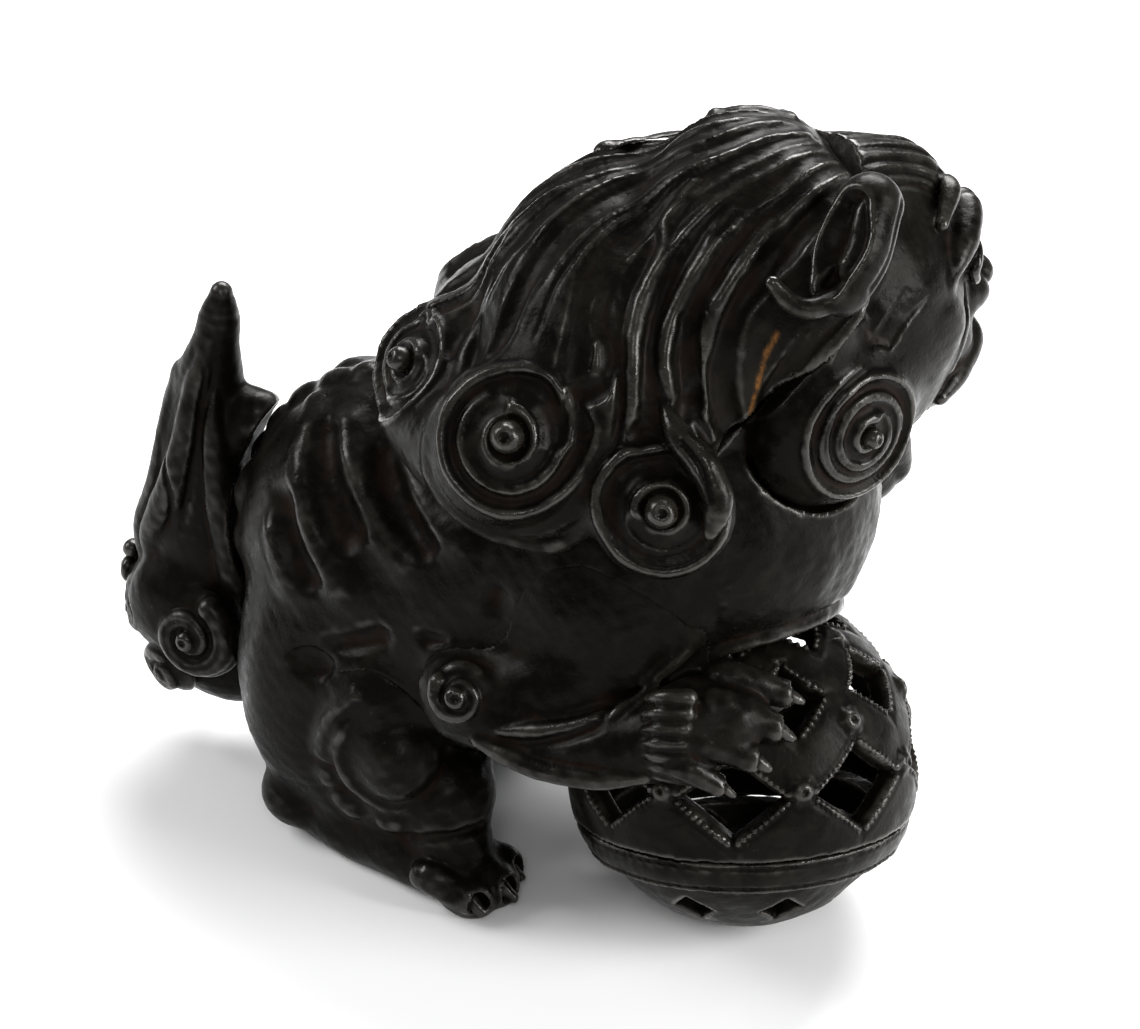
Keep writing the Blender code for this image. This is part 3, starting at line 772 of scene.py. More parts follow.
def curl(clay, c, n, right, radius, turns, hand, start, dome, r_out, r_in, button=2.4, lead=None,
         lines=2, fill=True, power=0.85):
    """A spiral curl: a low dome, a coiled lock over it, fine hair lines, and a button in the middle."""
    n = unit(n)
    c = np.array(c, float)
    if fill:
        u = unit(np.asarray(right, float) - n * float(np.dot(right, n)))
        v = np.cross(n, u)
        clay.add(ball(c - n * 1.5, (radius * 0.96, radius * 0.96, dome + 1.0), axes=(u, v, n)), 1.2)
    p, r, n, u, v = spiral(c, n, right, radius, turns, hand, start, dome, r_out, r_in, power, lead)
    clay.tubes([(p, r)], "add", 0.5)
    if lines:
        grooves = []
        t = np.gradient(p, axis=0)
        t /= np.linalg.norm(t, axis=1)[:, None]
        side = np.cross(t, n)
        for j in range(lines):
            off = (j + 1) / (lines + 1) * 2 - 1
            a = off * 1.15
            pos = p + side * (r * math.sin(a))[:, None] + n * (r * math.cos(a) + 0.10)[:, None]
            fade = np.clip(np.minimum(np.arange(len(p)) / 6.0, 1.0), 0.2, 1)
            g = np.minimum(0.42, r * 0.2) * fade
            grooves.append((pos, g))
        clay.tubes(grooves, "cut", 0.35)
    if button:
        top = c + n * (dome + button * 0.15)
        clay.add(ball(tuple(top), button), 0.5)
        clay.cut(ball(tuple(top + n * button * 0.95), button * 0.42), 0.4)


def scroll(clay, c, n, right, radius, turns, hand, start, dome, inner=3.4, button=2.8, lead=None, deep=1.0, raise_=True,
           crest=1):
    """A flowing curl: a low boss channelled by one concave spiral that runs in to a round button."""
    n = unit(n)
    c = np.array(c, float)
    u = unit(np.asarray(right, float) - n * float(np.dot(right, n)))
    v = np.cross(n, u)
    if raise_:
        clay.add(ball(c - n * 2.4, (radius * 0.86, radius * 0.86, dome + 2.2), axes=(u, v, n)), 7.0)
    m = int(turns * 44)
    q = np.linspace(0, 1, m + 1)
    pitch = (radius - inner) / max(turns, 0.5)
    wide = pitch * (0.94 + 0.12 * q)
    rr = radius - pitch * 0.45 - (radius - pitch * 0.45 - (inner + pitch * 0.30)) * q ** 0.92
    phi = np.radians(start) + hand * 2 * math.pi * turns * q
    p = c + u * (rr * np.cos(phi))[:, None] + v * (rr * np.sin(phi))[:, None] + n * dome
    if lead is not None:
        a = curve([np.array(t, float) for t in lead] + [p[0], p[3]], step=1.0)[:-1]
        p = np.concatenate([a, p[3:]])
        wide = np.concatenate([np.linspace(wide[0] * 0.55, wide[0], len(a)), wide[3:]])
    p = clay.project(p, 6)
    nn = clay.normal(p, 1.6)
    rad = wide * 0.62
    depth = np.minimum(wide * 0.30, 1.75) * deep
    fade = np.clip(np.arange(len(p)) / 8.0, 0.3, 1.0)
    centre = p + nn * (rad - depth * fade)[:, None]
    clay.tubes([(centre, rad)], "cut", 0.35)
    first = 0 if lead is None else len(a)
    out = p[first:] - c
    out = out - (out @ n)[:, None] * n
    out = out / np.maximum(np.linalg.norm(out, axis=1), 1e-6)[:, None]
    g = clay.project(p[first:] + out * (wide[first:] * 0.5)[:, None], 4)
    w = np.clip(np.minimum(np.arange(len(g)), np.arange(len(g))[::-1]) / 7.0, 0.15, 1.0)
    clay.tubes([(g - clay.normal(g, 1.0) * 0.15, 0.15 + 0.75 * w)], "add", 1.0)
    if crest:
        t = np.gradient(p, axis=0)
        t /= np.maximum(np.linalg.norm(t, axis=1), 1e-6)[:, None]
        side = np.cross(t, nn)
        lines = []
        for off in (0.36, -0.36) if crest > 1 else (0.36,):
            g = clay.project(p + side * (wide * off)[:, None], 3)
            lines.append((g + clay.normal(g, 0.8) * 0.12, np.full(len(g), 0.42) * fade))
        clay.tubes(lines, "cut", 0.3)
    if button:
        top = clay.project([c + n * dome], 6)[0]
        clay.cut(ball(tuple(top + n * (inner * 0.55)), inner + 0.9), 0.6)
        clay.add(ball(tuple(top - n * 0.2), (button, button, button * 1.15), axes=(u, v, n)), 0.5)
        clay.cut(ball(tuple(top + n * button * 1.05 + u * 0.2), button * 0.36), 0.35)


IMAGE_RIGHT = np.array([math.cos(math.radians(20)), math.sin(math.radians(20)), 0.0])


def mirror(p):
    p = np.array(p, float)
    p[..., 1] *= -1
    return p


def mirror_head(p):
    """Mirror in the head's own middle plane."""
    p = np.atleast_2d(np.array(p, float))
    l = (p - HEAD_C) @ HL
    return p - 2 * l[:, None] * HL


def hv(f, l, z):
    """Head-frame direction."""
    return HF * f + HL * l + UZ * z


# ----------------------------------------------------------------------------- torso
def model_torso(c):
    fuse(c, TORSO, 4.0)
    # ribs: soft ridges that run down and forward from the backbone, both sides
    ribs = [
        ([(-47.4, -4, 86), (-47.4, -9.3, 84.8), (-46.4, -17.5, 80), (-45.5, -22.5, 73.3), (-41.6, -28.5, 65.8), (-39, -31, 58)],
         [1.2, 2.0, 2.6, 2.6, 2.2, 1.2]),
        ([(-42, -4, 89.5), (-41.7, -9.6, 89.1), (-39.8, -20.3, 82.9), (-36.6, -26.4, 76.3), (-30.4, -31.1, 69.1), (-22, -34.5, 62.8), (-15, -36.5, 58.5)],
         [1.2, 2.2, 3.0, 3.0, 2.8, 2.2, 1.0]),
        ([(-33, -4, 93.5), (-32.5, -10.8, 92.7), (-27.7, -22.6, 85.6), (-20.8, -28, 79.5), (-11.6, -33.3, 73.9), (-2, -36.8, 70)],
         [1.2, 2.2, 2.8, 2.8, 2.4, 1.0]),
        ([(-17, -21.8, 87.4), (-8.4, -29.3, 83.5), (0, -34, 81.2), (10, -37, 79)], [1.2, 2.2, 2.2, 1.0]),
    ]
    dents = [
        ([(-44.7, -6, 87.5), (-43.4, -15.9, 84.2), (-42.2, -23, 77), (-38, -28.6, 69.9), (-31.8, -32.5, 63), (-26, -35, 57.3)],
         [0.8, 1.4, 1.8, 2.0, 1.8, 0.9]),
        ([(-36.8, -10.5, 91), (-33.8, -20.5, 84.8), (-29.5, -26.5, 79.5), (-24, -30.5, 73.5), (-15, -34.5, 67.5)],
         [1.0, 1.8, 2.8, 2.6, 1.0]),
        ([(-24, -16, 90), (-18.5, -25.5, 84.5), (-10.5, -31, 79), (-2, -34.8, 76)], [1.0, 2.0, 1.8, 0.8]),
    ]
    for side in (1, -1):
        up, down = [], []
        for pts, r in ribs:
            pts = np.array(pts, float) * (1, side, 1)
            p, n = c.drape(pts, 2.0)
            rr = np.interp(np.linspace(0, 1, len(p)), np.linspace(0, 1, len(r)), r)
            up.append((p - n * (rr * 0.92)[:, None], rr * 1.38))
        for pts, r in dents:
            pts = np.array(pts, float) * (1, side, 1)
            p, n = c.drape(pts, 2.0)
            rr = np.interp(np.linspace(0, 1, len(p)), np.linspace(0, 1, len(r)), r) * 1.5
            down.append((p + n * (rr * 0.52)[:, None], rr))
        c.tubes(up, "add", 4.0)
        c.tubes(down, "cut", 3.0)
    # backbone: a row of low knobs down the rump
    spine = [(-30, 0, 97), (-41, 0, 91), (-50, 0, 84), (-56, 0, 75), (-60, 0, 64), (-61, 0, 53), (-60.5, 0, 42), (-59, 0, 31), (-57, 0, 20)]
    p, n = c.drape(spine, 3.0)
    for i in range(2, len(p) - 1, 3):
        q = i / len(p)
        c.add(ball(tuple(p[i] - n[i] * 1.6), (3.2, 3.6 + 1.2 * q, 4.2), axes=(n[i], (0, 1, 0), np.cross(n[i], (0, 1, 0)))), 2.0)
    for side in (-1, 1):
        knobs = [(-55.5, 8 * side, 68), (-57.5, 9 * side, 56), (-57.5, 10 * side, 44)]
        q, m = c.project(knobs), None
        m = c.normal(q)
        for k in range(len(q)):
            c.add(ball(tuple(q[k] - m[k] * 2.0), (3.4, 4.0, 5.4), axes=(m[k], np.cross(m[k], (0, 0, 1)), (0, 0, 1))), 2.4)
    # flank: crease above the thigh, hip hollow, small dimple
    for side in (1, -1):
        crease = np.array([(-33, -34.5, 51), (-24.7, -36, 54), (-15, -37, 59), (-8, -37.5, 60.5), (-2, -38, 61)], float) * (1, side, 1)
        p, n = c.drape(crease, 1.5)
        w = np.sin(np.linspace(0.15, 1, len(p)) * math.pi * 0.9)
        r = 2.6 * np.maximum(w, 0.15)
        c.tubes([(p + n * (r * 0.35)[:, None], r)], "cut", 1.6)
        pit = c.project([(-31.5, -35.4 * side, 47.3)])[0]
        c.cut(ball(tuple(pit), (6.2, 3.4, 5.0), (0, 20, 0)), 2.6)
        dim = c.project([(8.2, -37.5 * side, 73.1)])[0]
        c.cut(ball(tuple(dim + np.array((0, -1.6 * side, 0))), 3.2), 2.2)
        hip = np.array([(-42.3, -29.9, 56), (-43.6, -31.6, 49), (-43.4, -33, 42), (-41.5, -34, 34)], float) * (1, side, 1)
        p, n = c.drape(hip, 2.0)
        c.tubes([(p - n * 1.6, np.full(len(p), 3.4))], "add", 3.0)
    # thin rolled rim where the chest sits over the ball
    g = c.window((36, -44, 54), (78, 30, 80))
    sl, x, y, z = g
    rb = sphere_fn(BALL_C, 0.0)(x, y, z)
    lip = 1.0 * np.exp(-((rb - (BALL_R + 3.2)) / 1.1) ** 2) - 0.8 * np.exp(-((rb - (BALL_R + 5.6)) / 0.8) ** 2)
    c.d[sl] -= lip.astype(np.float32)


def hollow_torso(c, seam):
    # hollow chamber, throat, core hole, seats
    hollow = Clay.part_of(c, (-66, -60, 0), (90, 60, 130))
    fuse(hollow, [L([(-20, 0, 47), (4, 0, 63), (26, 0, 84)], [31, 33, 31]), B((-28, 0, 34), (22, 24, 24))], 3.0)
    x, y, z = c.ax[0][:, None, None], c.ax[1][None, :, None], c.ax[2][None, None, :]
    near_ball = sphere_fn(BALL_C, BALL_R + 5.5)(x, y, z)
    c.d = np.maximum(c.d, -np.maximum(hollow.d, -near_ball))
    throat = np.maximum(np.sqrt((x - 36) ** 2 + (y - 5) ** 2) - 19.0, 84 - z)
    c.d = -smin(-c.d, throat, 0.8)
    core = np.maximum(np.sqrt((x - 2) ** 2 + y ** 2) - 9.0, z - 45)
    c.d = np.maximum(c.d, -core)
    plate = np.maximum(np.sqrt((x - 2) ** 2 + y ** 2) - 13.5, z - 26.6)
    c.d = np.maximum(c.d, -plate)
    for k in range(4):
        a = math.pi * (0.25 + 0.5 * k)
        hole = np.maximum(np.sqrt((x - (2 + 10.8 * math.cos(a))) ** 2 + (y - 10.8 * math.sin(a)) ** 2) - 1.6, z - 29.1)
        c.d = np.maximum(c.d, -hole)
    c.d = -smin(-c.d, sphere_fn(BALL_C, BALL_R + 1.6)(x, y, z), 0.8)
    tenon = np.maximum(np.maximum(np.abs(x + 66) - 12.8, np.abs(y) - 3.9), np.abs(z - 42) - 3.9)
    c.d = np.maximum(c.d, -tenon)
    shifts = [LIFT * (2.5 * k) for k in range(11)]
    behind = plane_fn(hw(0, 0, 40), PART_N, -0.06)
    cut_room(c, HEAD, 3.0, 1.1, shifts, limit=lambda a, b, e: -behind(a, b, e))
    c.d = np.maximum(c.d, 0.02 - z + 0 * c.d)
    return cast("lion_torso", c, "statue", "torso_shell", MAT["body"], 0.12, 3, relax=6, seam=seam)


# ----------------------------------------------------------------------------- mane
# combed ridges, from the parting over the crown to the lower edge; the first six fall on the
# lion's left, the last eight on its right
COMB = [
    [(50, 26, 147), (45, 33, 139), (43, 37, 130), (41, 39, 121), (39, 42, 112), (37, 44, 104), (35, 43, 96)],
    [(50, 24, 151), (45, 31, 144), (40, 36, 136), (35, 39, 127), (31, 42, 117), (28, 44, 108), (26, 43, 99)],
    [(50, 22, 153), (43, 29, 149), (35, 33, 142), (28, 37, 133), (22, 40, 123), (18, 43, 112), (13, 44, 102)],
    [(50, 20, 155), (41, 25, 153), (31, 27, 147), (20, 29, 138), (12, 32, 128), (6, 35, 118), (0, 37, 108)],
    [(50, 18, 156), (40, 19, 157), (28, 18, 152), (16, 17, 145), (5, 17, 136), (-4, 18, 125), (-11, 20, 114)],
    [(50, 16, 157), (40, 12, 158), (28, 9, 153), (14, 6, 146), (2, 3, 136), (-8, 1, 125), (-15, 0, 113)],
    [(50, 14, 157), (43, 9, 158), (35.5, 5.6, 157.4), (22, 3, 151), (9.5, -3, 144.2), (1.0, -9.5, 136.1), (-7.0, -12.5, 124), (-10, -18, 115)],
    [(52, 12, 157), (47.5, 10, 156.4), (35.8, -1.1, 156.9), (22.0, -2, 150.3), (12.9, -10.6, 144.4), (6.2, -19.8, 136.5), (2.7, -25.2, 127.3), (0.7, -29.4, 119.8)],
    [(53, 11, 157), (50.4, 6.3, 156.3), (40.7, -4.8, 156.3), (30.4, -10.3, 150.8), (21.5, -16.9, 143.8), (16.5, -26.8, 136.7), (14.8, -32.6, 129.3), (12.6, -37, 122)],
    [(55, 10, 156.5), (53.6, 5.4, 155.3), (46.4, -5.0, 155.7), (37.8, -12.9, 152.1), (30.0, -17.1, 144.8), (26.0, -25.4, 138.7), (25.8, -31.6, 132.8), (28.2, -36.2, 124.6), (28.3, -38.5, 115.6), (23.5, -40.9, 103.5)],
    [(57, 10, 155.5), (55.9, 7.3, 153.0), (49.4, -5.6, 155.2), (41.8, -13.6, 151.7), (35.2, -19.7, 144.9), (31.8, -25.8, 137.0), (31.6, -32.2, 130.2), (33.5, -36.2, 120.5), (32.2, -37.7, 110.8), (28.1, -37.7, 101.6)],
    [(59, 9, 154.5), (58.3, 5.5, 152.2), (53.6, -7.2, 154.0), (47.1, -13.9, 149.8), (41.7, -21.4, 143.5), (37.8, -26.0, 135.2), (37.7, -30.8, 127.6), (39.4, -33.2, 120.0), (42.2, -33.5, 112.5), (45.5, -35, 106.9)],
    [(61, 8, 153.5), (60.5, 4, 151), (57.6, -8.1, 152.8), (52.7, -14.0, 147.8), (48.0, -20.7, 141.4), (43.9, -25.6, 134.1), (42.6, -28.2, 127.2), (44.0, -29.6, 120.0), (46.5, -29.2, 114.6), (48.8, -27.3, 106)],
    [(64, 6, 151), (63.5, 0.9, 149.6), (62.0, -10.1, 149.6), (57.7, -16.5, 144.0), (53.0, -19.8, 137.9), (50.1, -23.7, 132.3), (49.6, -25.4, 124.0), (49.6, -25.6, 115.8), (50.3, -24.5, 108.7), (51, -22, 101)],
]


def resample(pts, count):
    p = curve(pts, step=1.0)
    s = np.concatenate([[0], np.cumsum(np.linalg.norm(np.diff(p, axis=0), axis=1))])
    t = np.linspace(0, s[-1], count)
    return np.stack([np.interp(t, s, p[:, k]) for k in range(3)], 1)


def build_mane():
    c = Clay((-34, -54, 74), (74, 52, 162), 0.5)
    fuse(c, MANE, 3.5)
    count = 64
    rows = [c.project(resample(g, count)) for g in COMB]
    rows = np.array(rows)

    def strand(s):
        i = min(int(s), len(rows) - 2)
        f = s - i
        p0 = rows[max(i - 1, 0)]
        p1, p2 = rows[i], rows[i + 1]
        p3 = rows[min(i + 2, len(rows) - 1)]
        p = 0.5 * ((2 * p1) + (p2 - p0) * f + (2 * p0 - 5 * p1 + 4 * p2 - p3) * f * f
                   + (3 * p1 - p0 - 3 * p2 + p3) * f ** 3)
        return p

    t = np.linspace(0, 1, count)
    last = len(rows) - 1
    flutes, fine = [], []
    rng = np.random.default_rng(11)
    for i in range(last):
        s = i + 0.5 + rng.uniform(-0.07, 0.07)
        p = c.project(strand(s), 4)
        n = c.normal(p, 1.5)
        gap = np.linalg.norm(c.project(strand(i + 0.98), 2) - c.project(strand(i + 0.02), 2), axis=1)
        r = np.clip(gap * 0.62, 0.8, 6.0)
        depth = np.clip(gap * 0.26, 0.10, 1.65) * np.clip(t / 0.10, 0.25, 1) * rng.uniform(0.85, 1.1)
        flutes.append((p + n * (r - depth)[:, None], r))
    c.tubes(flutes, "cut", 0.4)
    for i in range(last):
        for off, size in ((0.0, 0.62), (0.16, 0.5), (-0.17, 0.5), (0.36, 0.34), (-0.33, 0.34)):
            s = i + off + rng.uniform(-0.03, 0.03)
            if not 0.05 < s < last - 0.05 or (off == 0.0 and i % 2):
                continue
            a, b = sorted(rng.uniform(0.03, 0.35, 1).tolist() + rng.uniform(0.72, 1.0, 1).tolist())
            p = c.project(strand(s), 5)
            m = (t >= a) & (t <= b)
            p = p[m]
            n = c.normal(p, 0.9)
            q = np.linspace(0, 1, len(p))
            w = np.sin(np.clip(q * 1.02, 0, 1) * math.pi) ** 0.5
            r = size * (0.35 + 0.65 * w)
            fine.append((p + n * (r * 0.35)[:, None], r))
    c.tubes(fine, "cut", 0.35)

    face = unit((0.10, -0.88, 0.46))
    # right side: first curl, fed by the locks from the crown
    c1 = np.array((13.0, -41.5, 111.8))
    f2 = unit((0.28, -0.84, 0.44))
    c2 = np.array((40.6, -40.0, 101.6))
    c3 = np.array((-13.2, -20.6, 110.4))
    f3 = unit((-0.62, -0.66, 0.42))
    # long locks that lie over the combed hair and run into the curls, both sides
    locks = [
        [(27.8, -33.5, 130.0), (29.2, -36.2, 124.5), (30.4, -37.8, 118.5), (28.6, -38.9, 111.5), (25.4, -38.8, 105.0)],
        [(36, -10, 151), (33.1, -16.4, 147.6), (32.6, -22.9, 139.7), (32.8, -32.7, 128.7), (33.1, -36.7, 118.9), (32.0, -37.8, 112.6)],
        [(44, -14, 149), (40.7, -21.0, 144.2), (37.6, -27.5, 132.7), (38.6, -31.7, 125.0), (42.5, -31.8, 113)],
        [(51, -13.5, 147.5), (47.8, -20.1, 142.6), (45.6, -25.6, 132.8), (44.3, -28.5, 123.2), (45.3, -29.3, 115.2)],
        [(11.5, -25.6, 135.4), (10.3, -29.1, 130.4), (9.4, -31.0, 127.4), (7.6, -33.5, 121.3)],
        [(-1.2, -17.8, 129), (-1.7, -20.5, 125.9), (-1.9, -26.6, 119.4), (-1.6, -33.2, 114)]]
    ridges = []
    for side in (1, -1):
        for i, pts in enumerate(locks):
            p, n = c.drape(np.array(pts) * (1, side, 1), 1.2)
            w = np.sin(np.linspace(0.06, 1, len(p)) ** 0.8 * math.pi * 0.97) ** 0.6
            r = (1.7, 1.5, 1.5, 1.4, 1.6, 1.5)[i] * np.maximum(w, 0.12)
            ridges.append((p - n * (r * 0.35)[:, None], r))
    c.tubes(ridges, "add", 1.3)
    # outer strands that swing under the first curl
    for side in (1, -1):
        under = []
        for pts, r in (
                ([(-2.3, -39.5, 110.5), (-2.9, -41, 105.5), (-1.3, -42.3, 101), (2.2, -42.8, 96.8), (7, -41.6, 92.8), (13.5, -41.0, 90.6), (20, -41.0, 90.9), (25, -40.8, 94.4), (28, -40, 100)],
                 [0.7, 2.0, 2.6, 2.8, 2.8, 2.7, 2.5, 2.0, 0.8]),
                ([(0.8, -42.6, 108), (2.4, -44.2, 104), (5.6, -44.8, 100), (10.4, -44.4, 96.6), (16, -43.4, 94.8), (21.5, -42.6, 96.2), (26, -41, 101)],
                 [0.7, 1.8, 2.3, 2.4, 2.3, 1.9, 0.8])):
            under.append(curve(np.array(pts) * (1, side, 1), r))
        c.tubes(under, "add", 1.0)
    scroll(c, c1, face, IMAGE_RIGHT, 16.2, 1.75, -1, 28, 4.6, inner=4.6, button=3.1,
           lead=[(26.5, -22.5, 139.5), (25.9, -29.5, 133), (28.4, -36.5, 124)])
    # second curl, nearer the face, with the thick hooked lock that ends over it
    scroll(c, c2, f2, IMAGE_RIGHT, 14.4, 1.5, -1, 40, 4.4, inner=4.4, button=3.0,
           lead=[(41.0, -26.5, 133), (42.5, -30.5, 122)])
    u2 = unit(IMAGE_RIGHT - f2 * float(IMAGE_RIGHT @ f2))
    v2 = np.cross(f2, u2)

    def at2(x, y, h):
        return tuple(c2 + u2 * x + v2 * y + f2 * h)

    c.tubes([curve([at2(0.5, 19, 0.6), at2(3.0, 13, 2.6), at2(7.4, 8.0, 4.4), at2(10.0, 1.5, 4.4), at2(8.6, -4.2, 3.6)], [1.0, 2.4, 3.0, 2.8, 1.2])], "add", 0.9)
    c.tubes([curve([at2(3.4, 12.2, 5.2), at2(6.6, 8.4, 7.2), at2(8.8, 2.2, 7.2)], [0.4, 0.7, 0.4])], "cut", 0.4)
    # back curl
    scroll(c, c3, f3, IMAGE_RIGHT, 13.2, 1.75, 1, 62, 3.6, inner=3.6, button=2.5,
           lead=[(-0.5, -9.5, 136), (-5.5, -14.5, 125)])
    # the same three on the lion's left
    scroll(c, mirror(c1), mirror(face), mirror(-IMAGE_RIGHT), 15.6, 1.75, 1, 152, 4.0, inner=4.4, button=2.9,
           lead=[(24, 38, 128), (26, 42.5, 120)])
    scroll(c, (37.0, 40.6, 101.6), mirror(f2), mirror(-IMAGE_RIGHT), 13.6, 1.5, 1, 140, 4.0, inner=4.0, button=2.7,
           lead=[(40, 38, 124), (41, 41, 116)])
    scroll(c, mirror(c3), mirror(f3), mirror(-IMAGE_RIGHT), 12.8, 1.7, -1, 118, 3.4, inner=3.5, button=2.4,
           lead=[(-3, 15, 130), (-7, 17, 122)])
    # hood under the right ear: the small rough flat beside the parting stays as it is
    # brushed hair beside the parting, swept down toward the cheek
    brushed = []
    for side in (1, -1):
        for k in range(7):
            pts = [(70.5 - 1.6 * k, -14.2 - 1.2 * k, 137.6 - 0.9 * k), (65.5 - 1.5 * k, -18.6 - 0.6 * k, 132.6 - 1.5 * k),
                   (61.2 - 1.3 * k, -21.2 - 0.3 * k, 126.5 - 1.6 * k), (58.2 - 0.9 * k, -22.6, 120.0 - 1.4 * k)]
            pts = np.array(pts) if side > 0 else mirror_head(pts)
            p, n = c.drape(pts, 1.2)
            w = np.sin(np.linspace(0.08, 1, len(p)) * math.pi * 0.95)
            brushed.append((p + n * 0.1, (0.62 if k % 2 else 0.85) * np.maximum(w, 0.15)))
    c.tubes(brushed, "cut", 0.4)
    # cut away: the body below, the neck way, the swept room of the cover, the face opening
    x, y, z = c.ax[0][:, None, None], c.ax[1][None, :, None], c.ax[2][None, None, :]
    cut_room(c, TORSO, 4.0, 0.7, soft=0.4)
    c.cut(limb([(32, 3, 100), (40, 7, 116), (50, 14, 118)], [26, 25, 20]), 0.6)
    shifts = [LIFT * (2.5 * k) for k in range(11)]
    behind = plane_fn(hw(0, 0, 40), PART_N, -0.06)
    cut_room(c, HEAD, 3.0, 1.1, shifts, limit=lambda a, b, e: -behind(a, b, e))
    e2 = PART_N @ np.eye(3)
    e2 = np.cross(PART_N, HL)
    p0 = np.array(hw(0, 0, 40))
    q_n = plane_fn(p0, PART_N)(x, y, z)
    q_e = plane_fn(p0, e2)(x, y, z)
    q_l = plane_fn(p0, HL)(x, y, z)
    block = np.maximum(np.maximum(-0.06 - q_n, np.abs(q_e + 22) - 42), np.abs(q_l) - 50)
    c.d = -smin(-c.d, block, 0.3)

    line = curve([(55.4, -21.4, 130.3), (53.6, -22.8, 125.4), (52.6, -23.5, 119.6), (51.6, -23.7, 114.5)], step=0.6)

    def marks(v):
        out = np.zeros(len(v))
        near = np.linalg.norm(v - line[len(line) // 2], axis=1) < 14
        idx = np.flatnonzero(near)
        if len(idx):
            d = np.min(np.linalg.norm(v[idx][:, None] - line[None], axis=2), 1)
            patch = 0.5 + 0.5 * waves(v[idx], 3.4, 31)
            out[idx] = np.clip(0.95 - d / 0.75, 0, 1) * np.clip(patch * 1.6, 0, 1)
        return out

    return cast("lion_mane", c, "statue", "mane_shell", MAT["mane"], 0.09, 5, marks)


